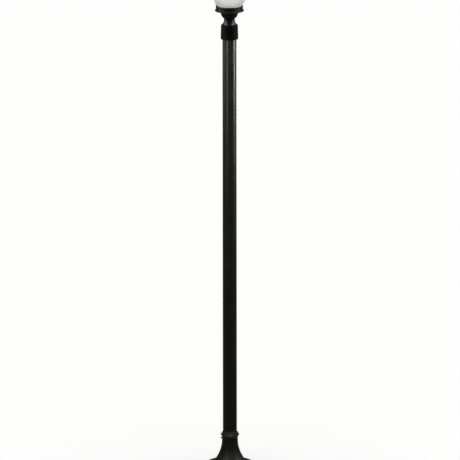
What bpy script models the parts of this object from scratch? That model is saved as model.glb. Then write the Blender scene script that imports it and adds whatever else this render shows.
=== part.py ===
"""Garden lamp post: a round steel post on a flared cast base, with an opal globe in a gallery on top.

Metres, +Z up. The origin is on the ground, at the centre of the base's underside, and every turned
piece has its own origin on the post's axis, about which the whole head can turn.
"""

import math

import bmesh
import bpy
from mathutils import Vector

# Driving dimensions
GAP = 0.0003  # left between pieces that touch
ROUND = 32  # sides of a large turned piece
SMALL_ROUND = 20
SCREW_ROUND = 12

TUBE_RADIUS = 0.0381
TUBE_WALL = 0.0016
TUBE_LENGTH = 2.4384
BORE_RADIUS = TUBE_RADIUS + GAP  # of each casting that the tube goes into

FLANGE_RADIUS = 0.125
FLANGE_HEIGHT = 0.014
FLANGE_ROUNDING = 0.004
FOOT_RADIUS = 0.092  # of the skirt, where it meets the flange
SKIRT_HEIGHT = 0.125
NECK_RADIUS = 0.0432
BASE_HEIGHT = 0.158
BASE_WALL = 0.006
SEAT_HEIGHT = 0.008
CABLE_HOLE_RADIUS = 0.030
ANCHOR_CIRCLE_RADIUS = 0.103
ANCHOR_HOLE_RADIUS = 0.0064
ANCHOR_COUNT = 4
RIB_THICKNESS = 0.006
RIB_FOOT = 0.003  # from the ground up to the ribs' lower edges

RING_HEIGHT = 0.034
RING_RADIUS = 0.051

SET_SCREW_RADIUS = 0.004
SET_SCREW_COUNT = 3
SCREW_HOLE_START = 0.030  # how far from the axis a set screw's hole is cut
SCREW_HOLE_END = 0.060
BASE_SCREW_HEIGHT = 0.151
BASE_SCREW_LENGTH = 0.012
BASE_SCREW_AZIMUTH = 180.0
COLLAR_SCREW_LENGTH = 0.0076
COLLAR_SCREW_AZIMUTH = 243.0

TUBE_TOP = SEAT_HEIGHT + GAP + TUBE_LENGTH
COLLAR_LENGTH = 0.077
COLLAR_FOOT_RADIUS = 0.048
COLLAR_TOP_RADIUS = 0.0457
COLLAR_WEB = 0.008  # the top plate, which stands on the tube
COLLAR_TOP = TUBE_TOP + GAP + COLLAR_WEB
COLLAR_SCREW_HEIGHT = COLLAR_TOP - COLLAR_LENGTH + 0.011

BELL_FOOT_RADIUS = 0.0455
BELL_THROAT_RADIUS = 0.0286
BELL_DECAY = 0.0097
BELL_HEIGHT = 0.032
BOWL_HEIGHT = 0.078  # from the bell's foot to the bowl's rim
BELL_Z = COLLAR_TOP + GAP

GALLERY_Z = BELL_Z + BOWL_HEIGHT + GAP
GALLERY_FLOOR = 0.004
GALLERY_HEIGHT = 0.0307
GALLERY_LIP_RADIUS = 0.0786
GALLERY_WALL_RADIUS = 0.0735
GALLERY_INSIDE_RADIUS = 0.0708
FLOOR_TOP = GALLERY_Z + GALLERY_FLOOR

GASKET_THICKNESS = 0.0027
GASKET_INSIDE = 0.0600
GASKET_OUTSIDE = 0.0690
GLOBE_RADIUS = 0.089
GLOBE_NECK_RADIUS = 0.0667
GLOBE_WALL = 0.0035
GLOBE_FOOT = FLOOR_TOP + GASKET_THICKNESS + 2 * GAP
GLOBE_NECK_LENGTH = 0.0195  # of the straight neck, up to where it meets the sphere

THUMB_SCREW_RADIUS = 0.0025
THUMB_HEAD_RADIUS = 0.005
THUMB_HEAD_END = 0.0812  # distance of the head's outer face from the post's axis
THUMB_SCREW_HEIGHT = GALLERY_Z + 0.0177
THUMB_SCREW_AZIMUTH = 90.0
THUMB_SCREW_COUNT = 3

NIPPLE_RADIUS = 0.00835
NIPPLE_BORE_RADIUS = 0.0063
NIPPLE_HOLE_RADIUS = NIPPLE_RADIUS + GAP
NIPPLE_BELOW_WEB = 0.013
NUT_ACROSS_FLATS = 0.026
NUT_HEIGHT = 0.006

BRACKET_SHEET = 0.002
BRACKET_WIDTH = 0.022
BRACKET_HALF_SPAN = 0.019
BRACKET_TAB_END = 0.030
BRACKET_HEIGHT = 0.0287
BRACKET_Z = FLOOR_TOP + GAP
EARTH_SCREW_HEIGHT = 0.0185  # above the strap's underside
EARTH_SCREW_RADIUS = 0.0020
EARTH_HEAD_RADIUS = 0.0035
EARTH_HEAD_HEIGHT = 0.003
NIPPLE_BOTTOM = COLLAR_TOP - COLLAR_WEB - NIPPLE_BELOW_WEB
NIPPLE_TOP = BRACKET_Z + BRACKET_SHEET + NUT_HEIGHT + 0.0035

SOCKET_Z = BRACKET_Z + BRACKET_HEIGHT + GAP
SOCKET_FLANGE_RADIUS = 0.030
SOCKET_BODY_RADIUS = 0.020
SOCKET_HEIGHT = 0.0254
SOCKET_FLOOR = 0.007
SOCKET_SCREW_OFFSET = 0.025
SOCKET_SCREW_RADIUS = 0.0018
PAN_HEAD_HEIGHT = 0.0024
SHELL_RADIUS = 0.0139
SHELL_WALL = 0.0006
SHELL_Z = SOCKET_Z + SOCKET_FLOOR + GAP
TERMINAL_OFFSET = 0.012

BULB_Z = SHELL_Z + 0.0041  # the lowest point of the bulb, over the contact's tongue
BULB_CAP_RADIUS = 0.013
BULB_RADIUS = 0.030

LEAD_RADIUS = 0.0011
LEAD_OFFSET = 0.0032  # of each lead from the axis, inside the nipple
CONNECTOR_OFFSET = 0.014
CONNECTOR_RADIUS = 0.006
CONNECTOR_LENGTH = 0.022
CONNECTOR_Z = TUBE_TOP - 0.078


def make_material(name, colour, roughness, metallic=0.0):
    material = bpy.data.materials.new(name)
    material.use_nodes = True
    shader = material.node_tree.nodes["Principled BSDF"]
    shader.inputs["Base Color"].default_value = (*colour, 1.0)
    shader.inputs["Roughness"].default_value = roughness
    shader.inputs["Metallic"].default_value = metallic
    material.diffuse_color = (*colour, 1.0)
    return material


def make_object(name, shape, material, parent, z=0.0):
    """An object from a bmesh, with its origin on the post's axis at height z."""
    mesh = bpy.data.meshes.new(name)
    bmesh.ops.recalc_face_normals(shape, faces=shape.faces)
    shape.to_mesh(mesh)
    shape.free()
    mesh.shade_smooth()
    mesh.set_sharp_from_angle(angle=math.radians(35))
    if material:
        mesh.materials.append(material)
    made = bpy.data.objects.new(name, mesh)
    made.location.z = z
    made.parent = parent
    bpy.context.scene.collection.objects.link(made)
    return made


def turned(outline, sides, closed=True):
    """The outline's (radius, height) points, turned a full circle about Z.

    An outline that isn't closed starts and ends on the axis."""
    shape = bmesh.new()
    points = [shape.verts.new((radius, 0.0, height)) for radius, height in outline]
    pairs = list(zip(points, points[1:]))
    if closed:
        pairs.append((points[-1], points[0]))
    edges = [shape.edges.new(pair) for pair in pairs]
    bmesh.ops.spin(
        shape,
        geom=points + edges,
        axis=(0, 0, 1),
        cent=(0, 0, 0),
        angle=2 * math.pi,
        steps=sides,
        use_merge=True,
    )
    bmesh.ops.remove_doubles(shape, verts=shape.verts, dist=1e-6)
    return shape


def strip(outline, width):
    """The outline's (x, z) points as a plate of the given width, centred on y = 0."""
    shape = bmesh.new()
    points = [shape.verts.new((x, -width / 2, z)) for x, z in outline]
    face = shape.faces.new(points)
    grown = bmesh.ops.extrude_face_region(shape, geom=[face])
    moved = [item for item in grown["geom"] if isinstance(item, bmesh.types.BMVert)]
    bmesh.ops.translate(shape, verts=moved, vec=(0, width, 0))
    return shape


def rod(radius, low, high, sides):
    return turned([(0, low), (radius, low), (radius, high), (0, high)], sides, closed=False)


def point_outwards(made, azimuth, height):
    """Turns the piece so that its own Z runs out from the post's axis, at the azimuth in degrees."""
    made.rotation_euler = (0, math.radians(90), math.radians(azimuth))
    made.location.z = height


def hide_helper(helper):
    helper.hide_render = True
    helper.display_type = "WIRE"


def combine(body, helper, operation):
    hide_helper(helper)
    modifier = body.modifiers.new(helper.name, "BOOLEAN")
    modifier.operation = operation
    modifier.object = helper


def cut_round(body, name, radius, low, high, place=(0, 0), sides=SCREW_ROUND):
    """Cuts an upright hole, in the body's own coordinates."""
    cutter = make_object(name, rod(radius, low, high, sides), None, body)
    cutter.location = (*place, 0)
    combine(body, cutter, "DIFFERENCE")


def cut_radial(body, name, radius, near, far, azimuth, height):
    """Cuts a hole that runs out from the post's axis, at a height in the body's own coordinates."""
    cutter = make_object(name, rod(radius, near, far, SCREW_ROUND), None, body)
    point_outwards(cutter, azimuth, height)
    combine(body, cutter, "DIFFERENCE")


def cut_set_screw_hole(body, name, azimuth, height):
    cut_radial(body, name, SET_SCREW_RADIUS + GAP, SCREW_HOLE_START, SCREW_HOLE_END, azimuth, height)


def arc(centre, radius, start, end, steps):
    """Points on a circle in the outline's plane, between two angles in degrees."""
    points = []
    for step in range(steps + 1):
        angle = math.radians(start + (end - start) * step / steps)
        points.append((centre[0] + radius * math.cos(angle), centre[1] + radius * math.sin(angle)))
    return points


def even_azimuths(first, count):
    return [first + 360.0 / count * index for index in range(count)]


def skirt_radius(height):
    """The skirt's outer radius, height being above the flange: a parabola that ends upright at the neck."""
    left = max(SKIRT_HEIGHT - height, 0.0) / SKIRT_HEIGHT
    return NECK_RADIUS + (FOOT_RADIUS - NECK_RADIUS) * left**2


def make_base(material, parent):
    """The base is one casting: flange, hollow skirt, and the socket that the post stands in."""
    heights = [SKIRT_HEIGHT * step / 9 for step in range(10)]
    cavity_heights = [0.072, 0.050, 0.030, 0.012, 0.0]
    cavity_wall = [(skirt_radius(h) - BASE_WALL, FLANGE_HEIGHT + h) for h in cavity_heights]
    rim = arc((FLANGE_RADIUS - FLANGE_ROUNDING, FLANGE_HEIGHT - FLANGE_ROUNDING), FLANGE_ROUNDING, 0, 90, 3)
    outline = [(FLANGE_RADIUS, 0.0), *rim]
    outline += [(skirt_radius(h), FLANGE_HEIGHT + h) for h in heights]
    outline += [(NECK_RADIUS, BASE_HEIGHT), (BORE_RADIUS, BASE_HEIGHT), (BORE_RADIUS, SEAT_HEIGHT)]
    outline += [(CABLE_HOLE_RADIUS, SEAT_HEIGHT), (CABLE_HOLE_RADIUS, 0.0), (NECK_RADIUS, 0.0)]
    outline += [(NECK_RADIUS, cavity_wall[0][1]), *cavity_wall, (cavity_wall[-1][0], 0.0)]
    base = make_object("base_casting", turned(outline, ROUND), material, parent)
    overlap = 0.002
    rib_outline = [(NECK_RADIUS - overlap, RIB_FOOT), (NECK_RADIUS - overlap, cavity_wall[0][1])]
    rib_outline += [(radius + overlap, height) for radius, height in cavity_wall]
    rib_outline += [(cavity_wall[-1][0] + overlap, RIB_FOOT)]
    for index, azimuth in enumerate(even_azimuths(0, 4)):
        rib = make_object(f"rib_{index + 1}", strip(rib_outline, RIB_THICKNESS), None, base)
        rib.rotation_euler.z = math.radians(azimuth)
        combine(base, rib, "UNION")
    for index, azimuth in enumerate(even_azimuths(45, ANCHOR_COUNT)):
        turn = math.radians(azimuth)
        place = (ANCHOR_CIRCLE_RADIUS * math.cos(turn), ANCHOR_CIRCLE_RADIUS * math.sin(turn))
        cut_round(base, f"anchor_hole_{index + 1}", ANCHOR_HOLE_RADIUS, -0.01, 0.03, place, 16)
    for index, azimuth in enumerate(even_azimuths(BASE_SCREW_AZIMUTH, SET_SCREW_COUNT)):
        name = f"base_screw_hole_{index + 1}"
        cut_set_screw_hole(base, name, azimuth, BASE_SCREW_HEIGHT)


def make_ring(material, parent):
    """A beaded cover ring, slid down the post onto the top of the base."""
    edge_radius = 0.0016
    bead = arc((RING_RADIUS - edge_radius, 0.0152), edge_radius, -55, 60, 4)
    outline = [(BORE_RADIUS, 0.0), (NECK_RADIUS, 0.0), *bead]
    outline += [(BORE_RADIUS + 0.001, RING_HEIGHT - 0.0005), (BORE_RADIUS, RING_HEIGHT)]
    make_object("base_ring", turned(outline, ROUND), material, parent, BASE_HEIGHT + GAP)


def set_screw(length):
    """A headless screw along Z from 0, with the recess for its key at the far end."""
    recess_radius = 0.0022
    recess_depth = 0.004
    outline = [(0, 0), (SET_SCREW_RADIUS, 0), (SET_SCREW_RADIUS, length), (recess_radius, length)]
    outline += [(recess_radius, length - recess_depth), (0, length - recess_depth)]
    return turned(outline, SCREW_ROUND, closed=False)


def make_set_screws(name, length, first_azimuth, height, material, parent):
    for index, azimuth in enumerate(even_azimuths(first_azimuth, SET_SCREW_COUNT)):
        shape = set_screw(length)
        bmesh.ops.translate(shape, verts=shape.verts, vec=(0, 0, BORE_RADIUS))
        screw = make_object(f"{name}_{index + 1}", shape, material, parent)
        point_outwards(screw, azimuth, height)


def make_tube(material, parent):
    inside = TUBE_RADIUS - TUBE_WALL
    outline = [(inside, 0), (TUBE_RADIUS, 0), (TUBE_RADIUS, TUBE_LENGTH), (inside, TUBE_LENGTH)]
    make_object("post_tube", turned(outline, ROUND), material, parent, SEAT_HEIGHT + GAP)


def make_collar(material, parent):
    """The sleeve that slips over the post's top. Its top plate stands on the tube's end."""
    foot_rounding = 0.0032
    foot = arc((COLLAR_FOOT_RADIUS - foot_rounding, foot_rounding), foot_rounding, -90, 0, 3)
    outline = [(BORE_RADIUS, 0), *foot, (COLLAR_TOP_RADIUS, COLLAR_LENGTH - 0.001)]
    outline += [(COLLAR_TOP_RADIUS - 0.001, COLLAR_LENGTH), (NIPPLE_HOLE_RADIUS, COLLAR_LENGTH)]
    outline += [(NIPPLE_HOLE_RADIUS, COLLAR_LENGTH - COLLAR_WEB), (BORE_RADIUS, COLLAR_LENGTH - COLLAR_WEB)]
    bottom = COLLAR_TOP - COLLAR_LENGTH
    collar = make_object("fitter_collar", turned(outline, ROUND), material, parent, bottom)
    for index, azimuth in enumerate(even_azimuths(COLLAR_SCREW_AZIMUTH, SET_SCREW_COUNT)):
        name = f"collar_screw_hole_{index + 1}"
        cut_set_screw_hole(collar, name, azimuth, COLLAR_SCREW_HEIGHT - bottom)


def bell_radius(height):
    """The bell's outer radius: wide at its foot, falling off towards the throat."""
    return BELL_THROAT_RADIUS + (BELL_FOOT_RADIUS - BELL_THROAT_RADIUS) * math.exp(-height / BELL_DECAY)


def make_neck(material, parent):
    """The bell-shaped neck casting, which opens into a small bowl under the gallery."""
    bell = [(bell_radius(h), h) for h in (0.0, 0.0022, 0.005, 0.009, 0.015, 0.023, BELL_HEIGHT)]
    bowl = [(0.0304, 0.037), (0.037, 0.043), (0.0411, 0.0485), (0.0462, 0.060), (0.0492, BOWL_HEIGHT)]
    hollow = [(0.0440, BOWL_HEIGHT), (0.0410, 0.060), (0.0330, 0.0485), (0.0235, 0.042)]
    foot = [(0.0235, 0.008), (NIPPLE_HOLE_RADIUS, 0.008), (NIPPLE_HOLE_RADIUS, 0.0)]
    outline = [*bell, *bowl, *hollow, *foot]
    make_object("fitter_neck", turned(outline, ROUND), material, parent, BELL_Z)


def make_gallery(material, parent):
    """The cup that holds the globe: a floor with a rolled lip, and an upright wall."""
    wall = GALLERY_WALL_RADIUS
    inside = GALLERY_INSIDE_RADIUS
    outline = [(NIPPLE_HOLE_RADIUS, 0.0), (GALLERY_LIP_RADIUS - 0.001, 0.0), (GALLERY_LIP_RADIUS, 0.0013)]
    outline += [(GALLERY_LIP_RADIUS - 0.0002, 0.0042), (wall + 0.0025, 0.0063), (wall - 0.0003, 0.0075)]
    outline += [(wall - 0.0011, 0.0089), (wall - 0.0001, 0.0103), (wall, 0.023)]
    outline += [(wall + 0.0005, GALLERY_HEIGHT - 0.0012), (wall - 0.0003, GALLERY_HEIGHT)]
    outline += [(inside + 0.0004, GALLERY_HEIGHT), (inside, GALLERY_HEIGHT - 0.0008)]
    outline += [(inside, GALLERY_FLOOR), (NIPPLE_HOLE_RADIUS, GALLERY_FLOOR)]
    gallery = make_object("gallery_cup", turned(outline, ROUND), material, parent, GALLERY_Z)
    for index, azimuth in enumerate(even_azimuths(THUMB_SCREW_AZIMUTH, THUMB_SCREW_COUNT)):
        name = f"thumb_screw_hole_{index + 1}"
        height = THUMB_SCREW_HEIGHT - GALLERY_Z
        cut_radial(gallery, name, THUMB_SCREW_RADIUS + GAP, 0.060, 0.080, azimuth, height)


def make_gasket(material, parent):
    outline = [(GASKET_INSIDE, 0), (GASKET_OUTSIDE, 0)]
    outline += [(GASKET_OUTSIDE, GASKET_THICKNESS), (GASKET_INSIDE, GASKET_THICKNESS)]
    make_object("globe_gasket", turned(outline, ROUND), material, parent, FLOOR_TOP + GAP)


def globe_wall(radius, neck_radius):
    """Half the outline of the globe at one face of its wall: up the neck and round to the top."""
    centre = GLOBE_NECK_LENGTH + math.sqrt(GLOBE_RADIUS**2 - GLOBE_NECK_RADIUS**2)
    start = -math.degrees(math.acos(neck_radius / radius))
    return [(neck_radius, 0.0), *arc((0, centre), radius, start, 90, 12)]


def make_globe(material, parent):
    """The opal globe, blown in one piece with the straight neck that stands in the gallery."""
    outside = globe_wall(GLOBE_RADIUS, GLOBE_NECK_RADIUS)
    inside = globe_wall(GLOBE_RADIUS - GLOBE_WALL, GLOBE_NECK_RADIUS - GLOBE_WALL)
    outline = [*reversed(outside), *inside]
    shape = turned(outline, ROUND, closed=False)
    make_object("globe", shape, material, parent, GLOBE_FOOT)


def make_thumb_screws(material):
    """Three screws through the gallery's wall, which centre the globe's neck and hold it."""
    tip = GLOBE_NECK_RADIUS + GAP
    shoulder = GALLERY_WALL_RADIUS + 0.0008
    for index, azimuth in enumerate(even_azimuths(THUMB_SCREW_AZIMUTH, THUMB_SCREW_COUNT)):
        outline = [(0, tip), (THUMB_SCREW_RADIUS, tip), (THUMB_SCREW_RADIUS, shoulder)]
        outline += [(THUMB_HEAD_RADIUS - 0.0006, shoulder), (THUMB_HEAD_RADIUS, shoulder + 0.0006)]
        outline += [(THUMB_HEAD_RADIUS, THUMB_HEAD_END - 0.0006)]
        outline += [(THUMB_HEAD_RADIUS - 0.0006, THUMB_HEAD_END), (0, THUMB_HEAD_END)]
        shape = turned(outline, SCREW_ROUND, closed=False)
        screw = make_object(f"thumb_screw_{index + 1}", shape, material, None)
        point_outwards(screw, azimuth, THUMB_SCREW_HEIGHT)


def hex_nut():
    """A nut from z = 0 up, with a plain hole for the nipple."""
    shape = bmesh.new()
    corner = NUT_ACROSS_FLATS / math.sqrt(3)
    bmesh.ops.create_cone(
        shape, cap_ends=True, segments=6, radius1=corner, radius2=corner, depth=NUT_HEIGHT
    )
    bmesh.ops.translate(shape, verts=shape.verts, vec=(0, 0, NUT_HEIGHT / 2))
    return shape


def make_nipple(steel, plastic, parent):
    """The threaded pipe that clamps collar, neck, gallery and bracket together, and carries the leads."""
    length = NIPPLE_TOP - NIPPLE_BOTTOM
    outline = [(NIPPLE_BORE_RADIUS, 0), (NIPPLE_RADIUS, 0)]
    outline += [(NIPPLE_RADIUS, length), (NIPPLE_BORE_RADIUS, length)]
    make_object("nipple", turned(outline, SMALL_ROUND), steel, parent, NIPPLE_BOTTOM)
    nut_places = {
        "nipple_nut_lower": COLLAR_TOP - COLLAR_WEB - GAP - NUT_HEIGHT,
        "nipple_nut_upper": BRACKET_Z + BRACKET_SHEET + GAP,
    }
    for name, height in nut_places.items():
        nut = make_object(name, hex_nut(), steel, parent, height)
        cut_round(nut, f"{name}_hole", NIPPLE_HOLE_RADIUS, -0.001, NUT_HEIGHT + 0.001, sides=SMALL_ROUND)
    mouth_radius = 0.0055
    sleeve_radius = 0.0105
    skirt = 0.0055
    lip = 0.0035
    outline = [(mouth_radius, 0), (sleeve_radius, 0), (sleeve_radius, lip + skirt)]
    outline += [(NIPPLE_HOLE_RADIUS, lip + skirt), (NIPPLE_HOLE_RADIUS, lip), (mouth_radius, lip)]
    bushing = turned(outline, SMALL_ROUND)
    make_object("nipple_bushing", bushing, plastic, parent, NIPPLE_BOTTOM - GAP - lip)


def make_bracket(steel, green, parent):
    """A bent steel strap that lifts the lampholder clear of the nipple, with its earth screw."""
    outer = BRACKET_HALF_SPAN
    inner = BRACKET_HALF_SPAN - BRACKET_SHEET
    end = BRACKET_TAB_END
    tab = BRACKET_HEIGHT - BRACKET_SHEET
    right = [(outer, 0), (outer, tab), (end, tab), (end, BRACKET_HEIGHT), (inner, BRACKET_HEIGHT)]
    right += [(inner, BRACKET_SHEET)]
    left = [(-x, z) for x, z in reversed(right)]
    bracket = make_object("socket_bracket", strip(right + left, BRACKET_WIDTH), steel, parent, BRACKET_Z)
    cut_round(bracket, "bracket_nipple_hole", NIPPLE_HOLE_RADIUS, -0.005, 0.008, sides=SMALL_ROUND)
    for side, place in (("left", -SOCKET_SCREW_OFFSET), ("right", SOCKET_SCREW_OFFSET)):
        cut_round(bracket, f"bracket_hole_{side}", SOCKET_SCREW_RADIUS + GAP, 0.020, 0.040, (place, 0))
    cut_radial(bracket, "earth_screw_hole", EARTH_SCREW_RADIUS + GAP, 0.010, 0.025, 0, EARTH_SCREW_HEIGHT)
    head_end = inner - GAP
    head_start = head_end - EARTH_HEAD_HEIGHT
    tip = outer + 0.003
    outline = [(0, head_start), (EARTH_HEAD_RADIUS, head_start), (EARTH_HEAD_RADIUS, head_end)]
    outline += [(EARTH_SCREW_RADIUS, head_end), (EARTH_SCREW_RADIUS, tip), (0, tip)]
    screw = make_object("earth_screw", turned(outline, SCREW_ROUND, closed=False), green, parent)
    point_outwards(screw, 0, BRACKET_Z + EARTH_SCREW_HEIGHT)


def pan_screw(shank_radius, shank_length, head_radius, head_height):
    """A screw whose head starts at z = 0 and stands up, with its shank below."""
    outline = [(0, -shank_length), (shank_radius, -shank_length), (shank_radius, 0), (head_radius, 0)]
    outline += [(head_radius, head_height * 0.6), (head_radius * 0.7, head_height), (0, head_height)]
    return turned(outline, SCREW_ROUND, closed=False)


def make_socket(porcelain, brass, steel, parent):
    """The porcelain lampholder with its threaded shell, centre contact, fixing screws and terminals."""
    flange_height = 0.005
    bore = SHELL_RADIUS + GAP
    outline = [(0, 0), (SOCKET_FLANGE_RADIUS, 0), (SOCKET_FLANGE_RADIUS, flange_height)]
    outline += [(SOCKET_BODY_RADIUS + 0.001, flange_height), (SOCKET_BODY_RADIUS, flange_height + 0.0015)]
    outline += [(SOCKET_BODY_RADIUS, SOCKET_HEIGHT - 0.0015), (SOCKET_BODY_RADIUS - 0.0015, SOCKET_HEIGHT)]
    outline += [(bore, SOCKET_HEIGHT), (bore, SOCKET_FLOOR), (0, SOCKET_FLOOR)]
    shape = turned(outline, SMALL_ROUND + 8, closed=False)
    socket = make_object("socket_body", shape, porcelain, parent, SOCKET_Z)
    for side, sign in (("left", -1), ("right", 1)):
        place = (sign * SOCKET_SCREW_OFFSET, 0)
        cut_round(socket, f"socket_hole_{side}", SOCKET_SCREW_RADIUS + GAP, -0.005, 0.010, place)
        shape = pan_screw(SOCKET_SCREW_RADIUS, 0.0115, 0.0034, PAN_HEAD_HEIGHT)
        screw = make_object(f"socket_screw_{side}", shape, steel, parent)
        screw.location = (*place, SOCKET_Z + flange_height + GAP)
    terminal_radius = 0.0015
    depth = 0.0045
    for name, sign in (("line", 1), ("neutral", -1)):
        place = (0, sign * TERMINAL_OFFSET)
        cut_round(socket, f"terminal_hole_{name}", terminal_radius + GAP, -0.005, depth, place)
        shape = pan_screw(terminal_radius, depth - GAP, 0.003, PAN_HEAD_HEIGHT)
        terminal = make_object(f"terminal_screw_{name}", shape, brass, parent)
        terminal.rotation_euler.x = math.radians(180)
        terminal.location = (*place, SOCKET_Z - GAP)
    wall_inside = SHELL_RADIUS - SHELL_WALL
    shell_height = SOCKET_HEIGHT - SOCKET_FLOOR - 0.002
    ledge = 0.0008
    outline = [(0.008, 0), (SHELL_RADIUS, 0), (SHELL_RADIUS, shell_height), (wall_inside, shell_height)]
    outline += [(wall_inside, ledge), (0.008, ledge)]
    make_object("socket_shell", turned(outline, SMALL_ROUND + 8), brass, parent, SHELL_Z)
    sheet = 0.0007
    tongue = [(-0.006, 0), (0.006, 0), (0.007, sheet), (-0.002, 0.0037), (-0.004, 0.0035)]
    tongue += [(-0.004, 0.0029), (-0.002, 0.0030), (0.005, sheet), (-0.006, sheet)]
    make_object("socket_contact", strip(tongue, 0.005), brass, parent, SHELL_Z)


def make_bulb(aluminium, brass, black, white, opal, parent):
    """A screw-in lamp: eyelet, insulator, threaded cap, housing, circuit plate and dome."""
    eyelet_height = 0.0022
    eyelet = [(0, 0), (0.0045, 0), (0.005, 0.0006), (0.005, eyelet_height), (0, eyelet_height)]
    make_object("bulb_contact", turned(eyelet, SCREW_ROUND + 4, closed=False), brass, parent, BULB_Z)
    insulator_z = BULB_Z + eyelet_height + GAP
    insulator_height = 0.0037
    insulator = [(0, 0), (0.006, 0), (0.0105, 0.0027), (0.0105, insulator_height), (0, insulator_height)]
    shape = turned(insulator, SMALL_ROUND, closed=False)
    make_object("bulb_insulator", shape, black, parent, insulator_z)
    cap_z = insulator_z + insulator_height + GAP
    cap_height = 0.0205
    cap_wall = 0.0006
    inside = BULB_CAP_RADIUS - cap_wall
    cap = [(0, 0), (0.0105, 0), (BULB_CAP_RADIUS, 0.0025), (BULB_CAP_RADIUS, cap_height)]
    cap += [(inside, cap_height), (inside, 0.0029), (0.0103, cap_wall), (0, cap_wall)]
    make_object("bulb_cap", turned(cap, SMALL_ROUND, closed=False), aluminium, parent, cap_z)
    housing_z = cap_z + cap_height + GAP
    plate_seat = 0.033
    rim = 0.037
    spigot = inside - GAP
    outside = [(0, -0.017), (spigot, -0.017), (spigot, 0), (0.0145, 0), (0.020, 0.013), (0.027, 0.025)]
    outside += [(BULB_RADIUS, plate_seat), (BULB_RADIUS, rim)]
    hollow = [(BULB_RADIUS - 0.002, rim), (BULB_RADIUS - 0.002, plate_seat), (0.0255, plate_seat)]
    hollow += [(0.018, 0.015), (0.010, 0.001), (0.010, -0.015), (0, -0.015)]
    shape = turned(outside + hollow, SMALL_ROUND + 8, closed=False)
    make_object("bulb_housing", shape, white, parent, housing_z)
    plate_radius = BULB_RADIUS - 0.002 - GAP
    plate = rod(plate_radius, 0, 0.0016, SMALL_ROUND + 8)
    make_object("bulb_led_plate", plate, white, parent, housing_z + plate_seat + GAP)
    wall = 0.0015
    straight = 0.0077
    outer = [(BULB_RADIUS, 0), *arc((0, straight), BULB_RADIUS, 0, 90, 7)]
    inner = [(BULB_RADIUS - wall, 0), *arc((0, straight), BULB_RADIUS - wall, 0, 90, 7)]
    shape = turned([*reversed(outer), *inner], SMALL_ROUND + 8, closed=False)
    make_object("bulb_dome", shape, opal, parent, housing_z + rim + GAP)


def smooth_route(points, steps=3):
    """Points on a Catmull-Rom curve through the given ones."""
    ends = [points[0] * 2 - points[1], *points, points[-1] * 2 - points[-2]]
    route = [points[0]]
    for index in range(len(points) - 1):
        before, start, end, after = ends[index : index + 4]
        for step in range(1, steps + 1):
            t = step / steps
            bend = (after - before - 3 * (end - start)) * t**3
            bend += (2 * before - 5 * start + 4 * end - after) * t**2
            route.append(start + ((end - before) * t + bend) / 2)
    return route


def make_lead(name, azimuth, last_points, material, parent):
    """An insulated lead: out of its connector, up through the nipple, and on to where it is fastened."""
    out = Vector((math.cos(math.radians(azimuth)), math.sin(math.radians(azimuth)), 0))
    mouth = CONNECTOR_Z + CONNECTOR_LENGTH
    bore_bottom = NIPPLE_BOTTOM - 0.004
    points = [
        out * CONNECTOR_OFFSET + Vector((0, 0, mouth - 0.006)),
        out * CONNECTOR_OFFSET + Vector((0, 0, mouth + 0.004)),
        out * 0.0095 + Vector((0, 0, mouth + 0.018)),
        out * LEAD_OFFSET + Vector((0, 0, bore_bottom)),
        out * LEAD_OFFSET + Vector((0, 0, (bore_bottom + NIPPLE_TOP) / 2)),
        out * LEAD_OFFSET + Vector((0, 0, NIPPLE_TOP - 0.003)),
        *last_points,
    ]
    route = smooth_route(points)
    curve = bpy.data.curves.new(name, "CURVE")
    curve.dimensions = "3D"
    spline = curve.splines.new("POLY")
    spline.points.add(len(route) - 1)
    for point, place in zip(spline.points, route):
        point.co = (*place, 1)
    curve.bevel_depth = LEAD_RADIUS
    curve.bevel_resolution = 2
    curve.use_fill_caps = True
    curve.materials.append(material)
    lead = bpy.data.objects.new(name, curve)
    lead.parent = parent
    bpy.context.scene.collection.objects.link(lead)


def make_leads(materials, connector_material, parent):
    """Line, neutral and earth leads, each with its twist-on connector in the top of the post."""
    terminal_end = SOCKET_Z - GAP - PAN_HEAD_HEIGHT - GAP
    earth_end = BRACKET_HALF_SPAN - BRACKET_SHEET - GAP - EARTH_HEAD_HEIGHT - LEAD_RADIUS
    earth_z = BRACKET_Z + EARTH_SCREW_HEIGHT
    line_end = [Vector((0, 0.009, NIPPLE_TOP + 0.004)), Vector((0, TERMINAL_OFFSET, terminal_end))]
    neutral_end = [Vector((x, -y, z)) for x, y, z in line_end]
    earth_points = [Vector((0.0065, 0, NIPPLE_TOP + 0.0035)), Vector((earth_end, 0, earth_z))]
    ends = {"line": (90, line_end), "neutral": (210, neutral_end), "earth": (330, earth_points)}
    hole = 0.0026
    hole_bottom = CONNECTOR_LENGTH - 0.009
    for name, (azimuth, last_points) in ends.items():
        make_lead(f"lead_{name}", azimuth, last_points, materials[name], parent)
        outline = [(0, 0), (0.0035, 0), (0.0045, 0.004), (CONNECTOR_RADIUS, CONNECTOR_LENGTH)]
        outline += [(hole, CONNECTOR_LENGTH), (hole, hole_bottom), (0, hole_bottom)]
        shape = turned(outline, SCREW_ROUND, closed=False)
        connector = make_object(f"wire_connector_{name}", shape, connector_material, parent, CONNECTOR_Z)
        turn = math.radians(azimuth)
        connector.location.x = CONNECTOR_OFFSET * math.cos(turn)
        connector.location.y = CONNECTOR_OFFSET * math.sin(turn)


def make_empty(name, parent=None):
    """An empty on the post's axis, which groups the pieces that move together."""
    empty = bpy.data.objects.new(name, None)
    empty.parent = parent
    bpy.context.scene.collection.objects.link(empty)
    return empty


for old in list(bpy.data.objects):
    bpy.data.objects.remove(old)

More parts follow.
